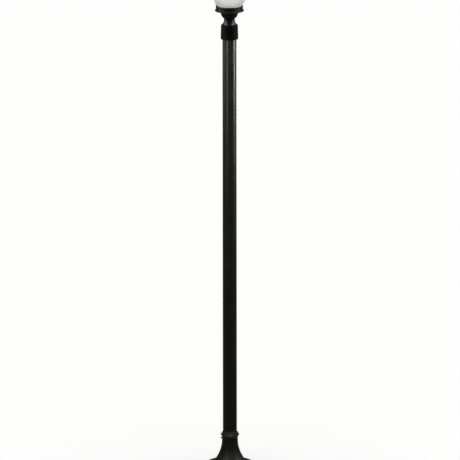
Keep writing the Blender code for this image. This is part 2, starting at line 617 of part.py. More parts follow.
black_coat = make_material("black_powder_coat", (0.010, 0.010, 0.009), 0.38)
cast_black = make_material("black_coated_casting", (0.009, 0.009, 0.008), 0.45)
matt_black = make_material("matt_black_coat", (0.004, 0.004, 0.004), 0.7)
stainless = make_material("stainless_steel", (0.55, 0.55, 0.53), 0.3, 1.0)
zinc_steel = make_material("zinc_plated_steel", (0.50, 0.50, 0.48), 0.35, 1.0)
black_screw = make_material("blackened_screw", (0.015, 0.015, 0.014), 0.4, 0.6)
opal_glass = make_material("opal_glass", (0.80, 0.79, 0.77), 0.25)
white_porcelain = make_material("glazed_porcelain", (0.78, 0.77, 0.73), 0.2)
yellow_brass = make_material("brass", (0.70, 0.50, 0.22), 0.3, 1.0)
bare_aluminium = make_material("aluminium", (0.75, 0.75, 0.76), 0.35, 1.0)
white_plastic = make_material("white_plastic", (0.80, 0.80, 0.78), 0.45)
black_plastic = make_material("black_plastic", (0.02, 0.02, 0.02), 0.5)
foam_rubber = make_material("gasket_rubber", (0.03, 0.03, 0.03), 0.9)
green_steel = make_material("green_earth_screw", (0.05, 0.30, 0.10), 0.4, 0.6)
red_plastic = make_material("connector_plastic", (0.55, 0.06, 0.04), 0.5)
lead_materials = {
    "line": make_material("black_insulation", (0.02, 0.02, 0.02), 0.5),
    "neutral": make_material("white_insulation", (0.80, 0.80, 0.78), 0.5),
    "earth": make_material("green_insulation", (0.05, 0.35, 0.10), 0.5),
}

post = make_empty("post")
head = make_empty("head", post)
bulb = make_empty("bulb", head)

make_base(cast_black, post)
make_ring(cast_black, post)
make_set_screws(
    "base_set_screw", BASE_SCREW_LENGTH, BASE_SCREW_AZIMUTH, BASE_SCREW_HEIGHT, black_screw, post
)
make_tube(black_coat, post)
make_collar(matt_black, head)
make_set_screws(
    "collar_set_screw", COLLAR_SCREW_LENGTH, COLLAR_SCREW_AZIMUTH, COLLAR_SCREW_HEIGHT, stainless, head
)
make_neck(cast_black, head)
make_gallery(cast_black, head)
make_gasket(foam_rubber, head)
make_nipple(zinc_steel, black_plastic, head)
make_bracket(zinc_steel, green_steel, head)
make_socket(white_porcelain, yellow_brass, zinc_steel, head)
make_leads(lead_materials, red_plastic, head)
make_bulb(bare_aluminium, yellow_brass, black_plastic, white_plastic, opal_glass, bulb)
make_globe(opal_glass, head)
make_thumb_screws(black_screw)
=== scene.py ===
import math

import bpy
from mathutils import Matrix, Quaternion, Vector


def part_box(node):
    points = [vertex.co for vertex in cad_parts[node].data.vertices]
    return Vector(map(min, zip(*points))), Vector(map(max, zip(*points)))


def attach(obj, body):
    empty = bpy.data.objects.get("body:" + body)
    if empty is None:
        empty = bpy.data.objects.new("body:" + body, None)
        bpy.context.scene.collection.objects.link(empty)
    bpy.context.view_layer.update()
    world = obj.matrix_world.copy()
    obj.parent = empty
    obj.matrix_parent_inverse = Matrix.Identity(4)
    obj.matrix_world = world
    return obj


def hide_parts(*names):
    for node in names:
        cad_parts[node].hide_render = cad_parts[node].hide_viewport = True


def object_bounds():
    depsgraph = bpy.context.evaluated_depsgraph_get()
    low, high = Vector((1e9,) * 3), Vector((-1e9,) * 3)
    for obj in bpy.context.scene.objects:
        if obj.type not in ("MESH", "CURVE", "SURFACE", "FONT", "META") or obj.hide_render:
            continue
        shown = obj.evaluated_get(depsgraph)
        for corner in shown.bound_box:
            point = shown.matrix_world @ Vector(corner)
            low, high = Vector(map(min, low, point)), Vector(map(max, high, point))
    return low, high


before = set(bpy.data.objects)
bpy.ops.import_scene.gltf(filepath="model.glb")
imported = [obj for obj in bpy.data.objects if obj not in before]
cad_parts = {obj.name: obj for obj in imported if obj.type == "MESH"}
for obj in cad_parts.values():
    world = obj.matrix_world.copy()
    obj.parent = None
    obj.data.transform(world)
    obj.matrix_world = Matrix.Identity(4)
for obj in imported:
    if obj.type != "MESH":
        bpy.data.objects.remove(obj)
cad_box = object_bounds()

# ---- Camera, studio light and floor ----
# A long lens from a little above, and soft panels round the upper post, which catches two streaks
# while its foot stays dark. Head, base ring, globe and floor each have lights of their own.
camera_elevation = math.radians(13.5)
camera_lens = 1200.0
sensor_width = 36.0
view_width = 2.498
camera_roll = math.radians(-0.07)
look_at = Vector((0.0018, 0.0, 0.4849 * cad_box[1].z))
camera_distance = view_width * camera_lens / sensor_width
camera_data = bpy.data.cameras.new("camera")
camera_data.lens = camera_lens
camera_data.sensor_width = sensor_width
camera_data.clip_start = 1.0
camera_data.clip_end = 2 * camera_distance
camera = bpy.data.objects.new("camera", camera_data)
to_camera = Vector((0, -math.cos(camera_elevation), math.sin(camera_elevation)))
camera.location = look_at + camera_distance * to_camera
level = to_camera.to_track_quat("Z", "Y")
camera.rotation_euler = (level @ Quaternion((0, 0, 1), camera_roll)).to_euler()
bpy.context.scene.collection.objects.link(camera)
bpy.context.scene.camera = camera
bpy.context.scene.view_settings.view_transform = "Standard"

world = bpy.data.worlds.new("studio")
world.use_nodes = True
bpy.context.scene.world = world
world_nodes = world.node_tree.nodes
world_links = world.node_tree.links
room = world_nodes["Background"]
room_grey = (0.092, 0.089, 0.085, 1)
room.inputs["Color"].default_value = room_grey
backdrop = world_nodes.new("ShaderNodeBackground")
backdrop_white = (0.982, 0.982, 0.982, 1)
backdrop.inputs["Color"].default_value = backdrop_white
seen_or_lighting = world_nodes.new("ShaderNodeMixShader")
ray = world_nodes.new("ShaderNodeLightPath")
world_links.new(ray.outputs["Is Camera Ray"], seen_or_lighting.inputs["Fac"])
world_links.new(room.outputs["Background"], seen_or_lighting.inputs[1])
world_links.new(backdrop.outputs["Background"], seen_or_lighting.inputs[2])
world_links.new(seen_or_lighting.outputs["Shader"], world_nodes["World Output"].inputs["Surface"])

# Pieces in the two away_from collections get none of the light of the panels that are given them, and
# a lit collection's lights reach only what is in it.
away_from_sides = bpy.data.collections.new("away_from_sides")
away_from_tops = bpy.data.collections.new("away_from_tops")
lit_head = bpy.data.collections.new("lit_head")
lit_ring = bpy.data.collections.new("lit_ring")
lit_floor = bpy.data.collections.new("lit_floor")
lit_globe = bpy.data.collections.new("lit_globe")


def keep_from(away, piece):
    """Keeps the light of a group of panels off a piece."""
    away.objects.link(piece)
    away.collection_objects[-1].light_linking.link_state = "EXCLUDE"


head_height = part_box("fitter_collar")[0].z
panels = (
    # name, azimuth from the viewer's side, distance, height, width, length, watts, height faced, collection
    ("panel_left_wide", -95, 2.0, 2.1, 1.4, 1.0, 4.5, 2.1, away_from_sides),
    ("panel_left_edge", -38, 2.0, 2.1, 0.22, 1.0, 9, 2.1, away_from_sides),
    ("panel_right", 88, 2.0, 2.15, 0.22, 1.0, 25, 2.15, away_from_sides),
    ("panel_front", 8, 2.5, 2.1, 1.0, 0.9, 2.0, 2.1, away_from_sides),
    ("panel_back_left", -150, 2.4, 1.7, 0.5, 1.4, 2.5, 1.5, away_from_sides),
    ("panel_back_right", 152, 2.4, 1.7, 0.5, 1.4, 2.5, 1.5, away_from_sides),
    ("panel_top_left", -75, 1.6, head_height + 1.6, 0.9, 0.9, 22, head_height, away_from_tops),
    ("panel_top_right", 75, 1.6, head_height + 1.6, 0.9, 0.9, 22, head_height, away_from_tops),
    ("head_panel_left", -92, 1.6, head_height + 0.5, 1.5, 1.3, 17, head_height, lit_head),
    ("head_panel_right", 92, 1.6, head_height + 0.5, 1.5, 1.3, 17, head_height, lit_head),
    ("ring_panel_front", 0, 2.5, 0.5, 2.4, 0.4, 90, 0.18, lit_ring),
    ("ring_panel_back", 180, 2.5, 0.5, 2.4, 0.4, 90, 0.18, lit_ring),
)
for name, azimuth, distance, height, width, length, watts, aim, linked in panels:
    turn = math.radians(azimuth)
    light = bpy.data.lights.new(name, "AREA")
    light.shape = "RECTANGLE"
    light.size = width
    light.size_y = length
    light.energy = watts
    panel = bpy.data.objects.new(name, light)
    panel.location = (distance * math.sin(turn), -distance * math.cos(turn), height)
    facing = panel.location - Vector((0, 0, aim))
    panel.rotation_euler = facing.to_track_quat("Z", "Y").to_euler()
    panel.visible_camera = False
    panel.light_linking.receiver_collection = linked
    bpy.context.scene.collection.objects.link(panel)

broad_lights = (
    # name, strength, width of the patch of sky in degrees, tilt from overhead, turn, collection
    ("floor_light", 3.17, 50, 0, 0, lit_floor),
    ("globe_light_front", 3.25, 170, 78, 0, lit_globe),
    ("globe_light_back", 1.9, 160, 60, 180, lit_globe),
)
for name, strength, patch, tilt, turn, linked in broad_lights:
    light = bpy.data.lights.new(name, "SUN")
    light.energy = strength
    light.angle = math.radians(patch)
    sky = bpy.data.objects.new(name, light)
    sky.location = (0, 0, 5)
    sky.rotation_euler = (math.radians(tilt), 0, math.radians(turn))
    bpy.context.scene.collection.objects.link(sky)
    sky.light_linking.receiver_collection = linked

floor_size = 90
floor_drop = 0.0004
floor_white = (0.9, 0.9, 0.9, 1)
bpy.ops.mesh.primitive_plane_add(size=floor_size, location=(0, 0, -floor_drop))
floor = bpy.context.object
floor.name = "floor"
floor.visible_glossy = False
floor.visible_diffuse = False
pale_floor = bpy.data.materials.new("pale_floor")
pale_floor.use_nodes = True
floor_shader = pale_floor.node_tree.nodes["Principled BSDF"]
floor_shader.inputs["Base Color"].default_value = floor_white
floor_shader.inputs["Roughness"].default_value = 1.0
floor_shader.inputs["Specular IOR Level"].default_value = 0.0
floor.data.materials.append(pale_floor)
lit_floor.objects.link(floor)
keep_from(away_from_sides, floor)
keep_from(away_from_tops, floor)


# ---- Base casting ----
# The foot of the post: a round flange, a hollow flared skirt and the socket that the tube stands in.
# Sand-cast in one piece with four ribs underneath, drilled for its bolts and screws, then coated black.
def rounded(corners, steps=5):
    """Points round a closed outline of (radius, height, rounding) corners, with an arc at each rounding."""
    points = []
    for index, (radius, height, rounding) in enumerate(corners):
        here = Vector((radius, height))
        if rounding == 0:
            points.append(here)
            continue
        to_last = Vector(corners[index - 1][:2]) - here
        to_next = Vector(corners[(index + 1) % len(corners)][:2]) - here
        half = to_last.angle(to_next) / 2
        reach = rounding / math.tan(half)
        hold = 1.5 * reach
        middle = (to_last.normalized() + to_next.normalized()).normalized()
        centre = here + middle * rounding / math.sin(half)
        start = here + to_last.normalized() * reach - centre
        end = here + to_next.normalized() * reach - centre
        if hold < 0.4 * to_last.length:
            points.append(here + to_last.normalized() * hold)
        for step in range(steps + 1):
            points.append(centre + start.lerp(end, step / steps).normalized() * rounding)
        if hold < 0.4 * to_next.length:
            points.append(here + to_next.normalized() * hold)
    return points


def drawn(name, line, y=0.0):
    """Draws a line of (x, z) points with the extrude tool, and leaves it selected in edit mode."""
    bpy.ops.object.select_all(action="DESELECT")
    bpy.ops.mesh.primitive_plane_add(size=0.001)
    piece = bpy.context.object
    piece.name = name
    piece.data.name = name
    bpy.ops.object.mode_set(mode="EDIT")
    bpy.ops.mesh.select_all(action="SELECT")
    bpy.ops.mesh.merge(type="CENTER")
    bpy.ops.transform.translate(value=(line[0][0], y, line[0][1]))
    for last, point in zip(line, line[1:]):
        move = (point[0] - last[0], 0, point[1] - last[1])
        bpy.ops.mesh.extrude_vertices_move(TRANSFORM_OT_translate={"value": move})
    bpy.ops.mesh.select_all(action="SELECT")
    return piece


def turned(name, outline, z=0.0, steps=128, smooth_angle=32):
    """Draws the outline, spins it about the post's axis and lifts it to z."""
    piece = drawn(name, outline)
    bpy.ops.mesh.spin(steps=steps, angle=2 * math.pi, center=(0, 0, 0), axis=(0, 0, 1))
    bpy.ops.mesh.select_all(action="SELECT")
    bpy.ops.mesh.remove_doubles(threshold=0.000005)
    bpy.ops.mesh.normals_make_consistent(inside=False)
    bpy.ops.transform.translate(value=(0, 0, z))
    bpy.ops.object.mode_set(mode="OBJECT")
    bpy.ops.object.shade_smooth_by_angle(angle=math.radians(smooth_angle))
    return piece


def ring_of(corners):
    """A closed outline for turned(), which ends where it starts."""
    points = rounded(corners)
    return [*points, points[0]]


def select_only(piece):
    """Makes a piece the one selected and active object."""
    bpy.ops.object.select_all(action="DESELECT")
    bpy.context.view_layer.objects.active = piece
    piece.select_set(True)


def apply_modifier(piece, kind, **values):
    """Adds a modifier with its values and applies it."""
    select_only(piece)
    bpy.ops.object.modifier_add(type=kind)
    modifier = piece.modifiers[-1]
    for setting, value in values.items():
        setattr(modifier, setting, value)
    bpy.ops.object.modifier_apply(modifier=modifier.name)


def cut(piece, tool, operation="DIFFERENCE", smooth_angle=32):
    """Cuts the tool's shape out of the piece, or joins or trims it, and removes the tool."""
    apply_modifier(piece, "BOOLEAN", operation=operation, solver="EXACT", object=tool)
    bpy.data.objects.remove(tool)
    bpy.ops.object.shade_smooth_by_angle(angle=math.radians(smooth_angle))


def around(radius, turn, height):
    """The place at a radius, a turn and a height about the post's axis."""
    return (radius * math.cos(turn), radius * math.sin(turn), height)


def radial_rod(radius, near, far, azimuth, height, sides=32):
    """A cutter for a hole that runs out from the post's axis."""
    turn = math.radians(azimuth)
    bpy.ops.object.select_all(action="DESELECT")
    bpy.ops.mesh.primitive_cylinder_add(
        vertices=sides,
        radius=radius,
        depth=far - near,
        location=around((near + far) / 2, turn, height),
        rotation=(0, math.pi / 2, turn),
    )
    return bpy.context.object


def place(piece, location, rotation=(0, 0, 0)):
    """Turns and moves a piece that was made on the post's axis, and leaves its object unturned."""
    select_only(piece)
    piece.location = location
    piece.rotation_euler = rotation
    bpy.ops.object.transform_apply(location=True, rotation=True, scale=True)


def new_group(name, inputs, outputs):
    """An empty shader group with its sockets, and its own input and output nodes."""
    group = bpy.data.node_groups.new(name, "ShaderNodeTree")
    kinds = {"colour": "NodeSocketColor", "value": "NodeSocketFloat"}
    for socket, kind in inputs.items():
        group.interface.new_socket(name=socket, in_out="INPUT", socket_type=kinds[kind])
    for socket, kind in outputs.items():
        group.interface.new_socket(name=socket, in_out="OUTPUT", socket_type=kinds[kind])
    given = group.nodes.new("NodeGroupInput")
    result = group.nodes.new("NodeGroupOutput")
    return group, given, result


def math_node(group, operation, first, second, clamp=False):
    """A Math node whose two values are sockets or plain numbers. Gives its output."""
    node = group.nodes.new("ShaderNodeMath")
    node.operation = operation
    node.use_clamp = clamp
    for socket, value in zip(node.inputs, (first, second)):
        if isinstance(value, (int, float)):
            socket.default_value = value
        else:
            group.links.new(value, socket)
    return node.outputs["Value"]


def noise_node(group, where, scale, detail=2.0):
    """A Noise Texture at a place, its scale a socket or a number of waves to a metre."""
    node = group.nodes.new("ShaderNodeTexNoise")
    node.inputs["Detail"].default_value = detail
    group.links.new(where, node.inputs["Vector"])
    if isinstance(scale, (int, float)):
        node.inputs["Scale"].default_value = scale
    else:
        group.links.new(scale, node.inputs["Scale"])
    return node.outputs["Fac"]


def stretch_node(group, gives, low, high, value):
    """Stretches a value's range from low..high to the range that it gives."""
    node = group.nodes.new("ShaderNodeMapRange")
    node.inputs["From Min"].default_value = low
    node.inputs["From Max"].default_value = high
    node.inputs["To Min"].default_value = gives[0]
    node.inputs["To Max"].default_value = gives[1]
    group.links.new(value, node.inputs["Value"])
    return node.outputs["Result"]


def mix_node(group, share, first, second):
    """Mixes two colours, each a socket or a plain colour."""
    node = group.nodes.new("ShaderNodeMix")
    node.data_type = "RGBA"
    group.links.new(share, node.inputs["Factor"])
    for socket, value in ((node.inputs[6], first), (node.inputs[7], second)):
        if isinstance(value, tuple):
            socket.default_value = (*value, 1)
        else:
            group.links.new(value, socket)
    return node.outputs[2]


# The black coat's surface: fine orange peel, the casting's lumps under it, dust that lies on what faces
# up, rain-dulled patches, and lighter edges where the coat has thinned, which on the base ring are
# also a painted highlight.
coat, given, result = new_group(
    "coat_surface",
    {
        "Colour": "colour",
        "Roughness": "value",
        "Peel Scale": "value",
        "Lump Scale": "value",
        "Lumps": "value",
        "Dust": "value",
        "Wear And Highlight": "value",
    },
    {"Colour": "colour", "Roughness": "value", "Height": "value"},
)
position = coat.nodes.new("ShaderNodeTexCoord")
here = position.outputs["Object"]
patch_scale = 14.0
peel = noise_node(coat, here, given.outputs["Peel Scale"])
lump = noise_node(coat, here, given.outputs["Lump Scale"], 4.0)
patch = noise_node(coat, here, patch_scale, 5.0)
split_normal = coat.nodes.new("ShaderNodeSeparateXYZ")
coat.links.new(position.outputs["Normal"], split_normal.inputs["Vector"])
facing_up = stretch_node(coat, (0, 1), 0.25, 1.0, split_normal.outputs["Z"])
dust_patch = stretch_node(coat, (0.15, 1), 0.35, 0.7, patch)
dust = math_node(coat, "MULTIPLY", facing_up, dust_patch)
dust = math_node(coat, "MULTIPLY", dust, given.outputs["Dust"], clamp=True)
pointed = coat.nodes.new("ShaderNodeNewGeometry").outputs["Pointiness"]
# Pointiness marks the edges: the lighter thinned coat there is real wear, and where its amount is high, as
# on the base ring, a painted highlight.
edge = stretch_node(coat, (0, 1), 0.53, 0.62, pointed)
edge_patch = stretch_node(coat, (0, 1), 0.40, 0.65, lump)
wear_and_highlight = math_node(coat, "MULTIPLY", edge, edge_patch)
wear_and_highlight = math_node(coat, "MULTIPLY", wear_and_highlight, given.outputs["Wear And Highlight"], clamp=True)
dulled = stretch_node(coat, (0.75, 1.35), 0.3, 0.7, patch)
shade = coat.nodes.new("ShaderNodeHueSaturation")
coat.links.new(given.outputs["Colour"], shade.inputs["Color"])
coat.links.new(dulled, shade.inputs["Value"])
dust_colour = (0.16, 0.145, 0.125)
# The lighter colour of thinned coat at edges; on the base ring's bead it is also a painted highlight.
thin_coat_and_highlight_colour = (0.09, 0.088, 0.085)
dusty = mix_node(coat, dust, shade.outputs["Color"], dust_colour)
worn_and_highlit = mix_node(coat, wear_and_highlight, dusty, thin_coat_and_highlight_colour)
coat.links.new(worn_and_highlit, result.inputs["Colour"])
gloss_shift = stretch_node(coat, (-0.05, 0.07), 0.3, 0.7, patch)
coat_roughness = math_node(coat, "ADD", given.outputs["Roughness"], gloss_shift)
dust_roughness = math_node(coat, "MULTIPLY", dust, 0.4)
coat_roughness = math_node(coat, "ADD", coat_roughness, dust_roughness, clamp=True)
coat.links.new(coat_roughness, result.inputs["Roughness"])
lump_height = math_node(coat, "MULTIPLY", lump, given.outputs["Lumps"])
coat.links.new(math_node(coat, "ADD", peel, lump_height), result.inputs["Height"])


def surfaced(name, group, values, relief_depth, **shader_values):
    """A material that takes its colour, roughness and relief from a surface group with its own values."""
    material = bpy.data.materials.new(name)
    material.use_nodes = True
    nodes = material.node_tree.nodes
    links = material.node_tree.links
    shader = nodes["Principled BSDF"]
    for socket, value in shader_values.items():
        shader.inputs[socket.replace("_", " ")].default_value = value
    surface = nodes.new("ShaderNodeGroup")
    surface.node_tree = group
    for socket, value in values.items():
        surface.inputs[socket].default_value = value
    relief = nodes.new("ShaderNodeBump")
    relief.inputs["Distance"].default_value = relief_depth
    links.new(surface.outputs["Colour"], shader.inputs["Base Color"])
    links.new(surface.outputs["Roughness"], shader.inputs["Roughness"])
    links.new(surface.outputs["Height"], relief.inputs["Height"])
    links.new(relief.outputs["Normal"], shader.inputs["Normal"])
    return material


def black_coat(name, colour, roughness, peel, lump, lumps, dust, wear_and_highlight, specular=0.5):
    """A black paint or powder coat. The peel and lump are the sizes of its ripples in metres."""
    values = {
        "Colour": (*colour, 1),
        "Roughness": roughness,
        "Peel Scale": 1 / peel,
        "Lump Scale": 1 / lump,
        "Lumps": lumps,
        "Dust": dust,
        "Wear And Highlight": wear_and_highlight,
    }
    coat_relief = 0.00007
    return surfaced(name, coat, values, coat_relief, Specular_IOR_Level=specular)


coat_black = (0.0105, 0.0105, 0.010)
coated_casting = black_coat(
    "coated_casting", coat_black, roughness=0.42, peel=0.0012, lump=0.005, lumps=2.4, dust=0.12, wear_and_highlight=0.5
)
base_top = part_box("base_casting")[1].z
flange_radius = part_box("base_casting")[1].x
flange_top = 0.014
skirt_foot = 0.092
skirt_height = 0.125
socket_radius = 0.0432
socket_bore = 0.0384
seat_height = 0.008
cable_hole = 0.030
cavity_top = 0.086
cavity_foot = 0.086
skirt_steps = 14
skirt_wall = 0.006
cavity_steps = 6
anchor_circle = 0.103
anchor_hole = 0.0064
spot_face_radius = 0.0095
spot_face_height = flange_top - 0.0008

skirt_corners = []
for step in range(skirt_steps + 1):
    left = 1 - step / skirt_steps
    skirt_radius = socket_radius + (skirt_foot - socket_radius) * left**2
    skirt_corners.append((skirt_radius, flange_top + skirt_height * (1 - left), 0))
skirt_corners[0] = (skirt_foot + 0.0006, flange_top, 0.0022)
cavity_corners = []
for step in range(cavity_steps + 1):
    left = 1 - (1 - step / cavity_steps) * (cavity_top - flange_top) / skirt_height
    cavity_radius = socket_radius + (skirt_foot - socket_radius) * left**2 - skirt_wall
    cavity_corners.append((cavity_radius, flange_top + skirt_height * (1 - left), 0))
base_corners = [
    (flange_radius, 0.0, 0.0008),
    (flange_radius, flange_top, 0.004),
    *skirt_corners,
    (socket_radius, base_top, 0.0007),
    (socket_bore, base_top, 0.0007),
    (socket_bore, seat_height, 0.0008),
    (cable_hole, seat_height, 0.0007),
    (cable_hole, 0.0, 0.0007),
    (socket_radius, 0.0, 0.0007),
    (socket_radius, cavity_top, 0.0008),
    *cavity_corners,
    (cavity_foot, 0.0, 0.0008),
]
base_casting = turned("lamp_base", ring_of(base_corners))
rib_count = 4
rib_thickness = 0.006
rib_foot = 0.003
rib_head = 0.062
rib_middle = (socket_radius + cavity_foot) / 2
rib_reach = cavity_foot - socket_radius + 0.003
rib_root = 0.002  # how far the ribs go into the skirt
rib_limit = [
    (0, 0.001),
    (cavity_foot + rib_root, 0.001),
    *[(radius + rib_root, height + 0.001) for radius, height, _ in reversed(cavity_corners)],
    (0, rib_head + 0.03),
]
for index in range(rib_count):
    turn = 2 * math.pi / rib_count * index
    bpy.ops.mesh.primitive_cube_add(
        size=1,
        location=around(rib_middle, turn, (rib_foot + rib_head) / 2),
        rotation=(0, 0, turn),
        scale=(rib_reach, rib_thickness, rib_head - rib_foot),
    )
    rib = bpy.context.object
    bpy.ops.object.transform_apply(location=True, rotation=True, scale=True)
    cut(rib, turned("rib_limit", rib_limit, 0, 64), "INTERSECT")
    cut(base_casting, rib, "UNION")
anchor_outline = [
    (0, -0.01),
    (anchor_hole, -0.01),
    (anchor_hole, spot_face_height - 0.0005),
    (anchor_hole + 0.0005, spot_face_height),
    (spot_face_radius, spot_face_height),
    (spot_face_radius + 0.0002, flange_top + 0.01),
    (0, flange_top + 0.01),
]
for azimuth in (45, 135, 225, 315):
    anchor_drill = turned("anchor_drill", anchor_outline, 0, 48)
    place(anchor_drill, around(anchor_circle, math.radians(azimuth), 0))
    cut(base_casting, anchor_drill)
base_screw_azimuths = (180, 300, 60)
base_screw_height = 0.151
set_screw_hole = 0.0043
drill_start = 0.030
drill_end = 0.060
for azimuth in base_screw_azimuths:
    cut(base_casting, radial_rod(set_screw_hole, drill_start, drill_end, azimuth, base_screw_height))
base_casting.data.materials.append(coated_casting)
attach(base_casting, "post")
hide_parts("base_casting")


# ---- Base ring ----
# A beaded cover ring, turned from the same alloy as the base and coated like it. It slides down the
# tube onto the socket's top and hides the gap round the tube.
def extent(node):
    """A node's lowest and highest corners, and how tall it is."""
    low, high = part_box(node)
    return low, high, high.z - low.z


# The ring's coat has its edge wear turned up to 1.0, so the lighter thinned coat round the bead also paints
# a highlight line on it.
rubbed_casting_painted_highlight = black_coat(
    "rubbed_casting_painted_highlight", coat_black, roughness=0.38, peel=0.0012, lump=0.005, lumps=2.0, dust=0.06, wear_and_highlight=1.0
)
ring_low, _, ring_height = extent("base_ring")
ring_corners = [
    (socket_bore, 0.0, 0.0004),
    (socket_radius, 0.0, 0.0004),
    (0.0506, 0.0122, 0.0020),
    (0.0513, 0.0158, 0.0024),
    (0.0494, 0.0186, 0.0016),
    (0.0388, ring_height - 0.0012, 0.0005),
    (socket_bore, ring_height - 0.0008, 0.0002),
]
base_ring = turned("base_cover_ring", ring_of(ring_corners), ring_low.z)
base_ring.data.materials.append(rubbed_casting_painted_highlight)
lit_ring.objects.link(base_ring)
keep_from(away_from_sides, base_ring)
keep_from(away_from_tops, base_ring)
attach(base_ring, "post")
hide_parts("base_ring")

# ---- Set screws ----
# Headless screws with a hexagon socket. Three blackened ones pinch the tube in the base, and three
# stainless ones hold the collar on the tube's top.
metal, given, result = new_group(
    "metal_surface",
    {
        "Colour": "colour",
        "Tarnish Colour": "colour",
        "Tarnish": "value",
        "Roughness": "value",
        "Grain Scale": "value",
    },
    {"Colour": "colour", "Roughness": "value", "Height": "value"},
)
position = metal.nodes.new("ShaderNodeTexCoord")
here = position.outputs["Object"]
tarnish_scale = 160.0
streak_scale = 400.0
streak_narrowing = (9.0, 9.0, 1.0)
grain = noise_node(metal, here, given.outputs["Grain Scale"], 3.0)
cloud = noise_node(metal, here, tarnish_scale, 4.0)
streak_place = metal.nodes.new("ShaderNodeMapping")
streak_place.inputs["Scale"].default_value = streak_narrowing
metal.links.new(here, streak_place.inputs["Vector"])
streak = noise_node(metal, streak_place.outputs["Vector"], streak_scale)
tarnish_share = stretch_node(metal, (0, 1), 0.42, 0.72, cloud)
tarnish_share = math_node(metal, "MULTIPLY", tarnish_share, given.outputs["Tarnish"], clamp=True)
tarnished = mix_node(metal, tarnish_share, given.outputs["Colour"], given.outputs["Tarnish Colour"])
metal.links.new(tarnished, result.inputs["Colour"])
metal_shift = stretch_node(metal, (-0.06, 0.08), 0.3, 0.7, streak)
metal_roughness = math_node(metal, "ADD", given.outputs["Roughness"], metal_shift)
tarnish_roughness = math_node(metal, "MULTIPLY", tarnish_share, 0.25)
metal_roughness = math_node(metal, "ADD", metal_roughness, tarnish_roughness, clamp=True)
metal.links.new(metal_roughness, result.inputs["Roughness"])
metal.links.new(math_node(metal, "ADD", grain, streak), result.inputs["Height"])


def bare_metal(name, colour, tarnish_colour, tarnish, roughness, grain=0.0004, metallic=1.0):
    """An uncoated or plated metal, with the tint it tarnishes to and the size of its grain in metres."""
    values = {
        "Colour": (*colour, 1),
        "Tarnish Colour": (*tarnish_colour, 1),
        "Tarnish": tarnish,
        "Roughness": roughness,
        "Grain Scale": 1 / grain,
    }
    metal_relief = 0.000012
    return surfaced(name, metal, values, metal_relief, Metallic=metallic)


def drill(piece, radius, depth, location, sides, operation="DIFFERENCE"):
    """Cuts an upright round or many-sided hole out of the piece, or trims the piece to that shape."""
    bpy.ops.object.select_all(action="DESELECT")
    bpy.ops.mesh.primitive_cylinder_add(vertices=sides, radius=radius, depth=depth, location=location)
    cut(piece, bpy.context.object, operation)


black_oxide = (0.020, 0.020, 0.019)
rust_brown = (0.060, 0.035, 0.020)
blackened_steel = bare_metal(
    "blackened_steel", black_oxide, rust_brown, tarnish=0.5, roughness=0.38, metallic=0.6
)
stainless_steel = bare_metal(
    "stainless_steel", (0.44, 0.43, 0.41), (0.28, 0.26, 0.23), tarnish=0.5, roughness=0.32
)
set_screw_radius = 0.004
set_screw_key = 0.0022
set_screw_recess = 0.004


def add_set_screw(name, length, azimuth, height, material):
    """A set screw from the tube's wall outwards, with a chamfered end and a hexagon socket."""
    chamfer = 0.0005
    outline = [
        (0, 0),
        (set_screw_radius - 0.001, 0),
        (set_screw_radius, 0.001),
        (set_screw_radius, length - chamfer),
        (set_screw_radius - chamfer, length),
        (0, length),
    ]
    screw = turned(name, outline, socket_bore, 36)
    key_depth = set_screw_recess + 0.002
    key_middle = socket_bore + length - set_screw_recess + key_depth / 2
    drill(screw, set_screw_key, key_depth, (0, 0, key_middle), 6)
    place(screw, (0, 0, height), (0, math.pi / 2, math.radians(azimuth)))
    screw.data.materials.append(material)
    keep_from(away_from_sides, screw)
    return screw


base_screw_length = 0.012
for index, azimuth in enumerate(base_screw_azimuths, 1):
    name = f"base_grub_screw_{index}"
    screw = add_set_screw(name, base_screw_length, azimuth, base_screw_height, blackened_steel)
    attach(screw, "post")
    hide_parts(f"base_set_screw_{index}")
collar_screw_azimuths = (243, 3, 123)
collar_screw_height = head_height + 0.011
collar_screw_length = 0.0076
for index, azimuth in enumerate(collar_screw_azimuths, 1):
    name = f"collar_grub_screw_{index}"
    screw = add_set_screw(name, collar_screw_length, azimuth, collar_screw_height, stainless_steel)
    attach(screw, "head")
    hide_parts(f"collar_set_screw_{index}")

# ---- Post tube ----
# A straight, round, thin-walled steel tube, sawn to a stock length, deburred and powder coated in a
# satin black. It stands on the seat inside the base.
powder_coat = black_coat(
    "powder_coat", coat_black, roughness=0.34, peel=0.0009, lump=0.012, lumps=0.6, dust=0.05, wear_and_highlight=0.3
)
tube_low, tube_high, tube_length = extent("post_tube")
tube_radius = tube_high.x
tube_wall = 0.0016
tube_sides = 160
tube_courses = 24
outside = [(tube_radius, tube_length * step / tube_courses, 0) for step in range(1, tube_courses)]
inside = [(radius - tube_wall, height, 0) for radius, height, _ in reversed(outside)]
tube_corners = [
    (tube_radius - tube_wall, 0.0, 0.0004),
    (tube_radius, 0.0, 0.0005),
    *outside,
    (tube_radius, tube_length, 0.0005),
    (tube_radius - tube_wall, tube_length, 0.0004),
    *inside,
]
post_tube = turned("lamp_post_tube", ring_of(tube_corners), tube_low.z, tube_sides)
post_tube.data.materials.append(powder_coat)
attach(post_tube, "post")
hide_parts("post_tube")

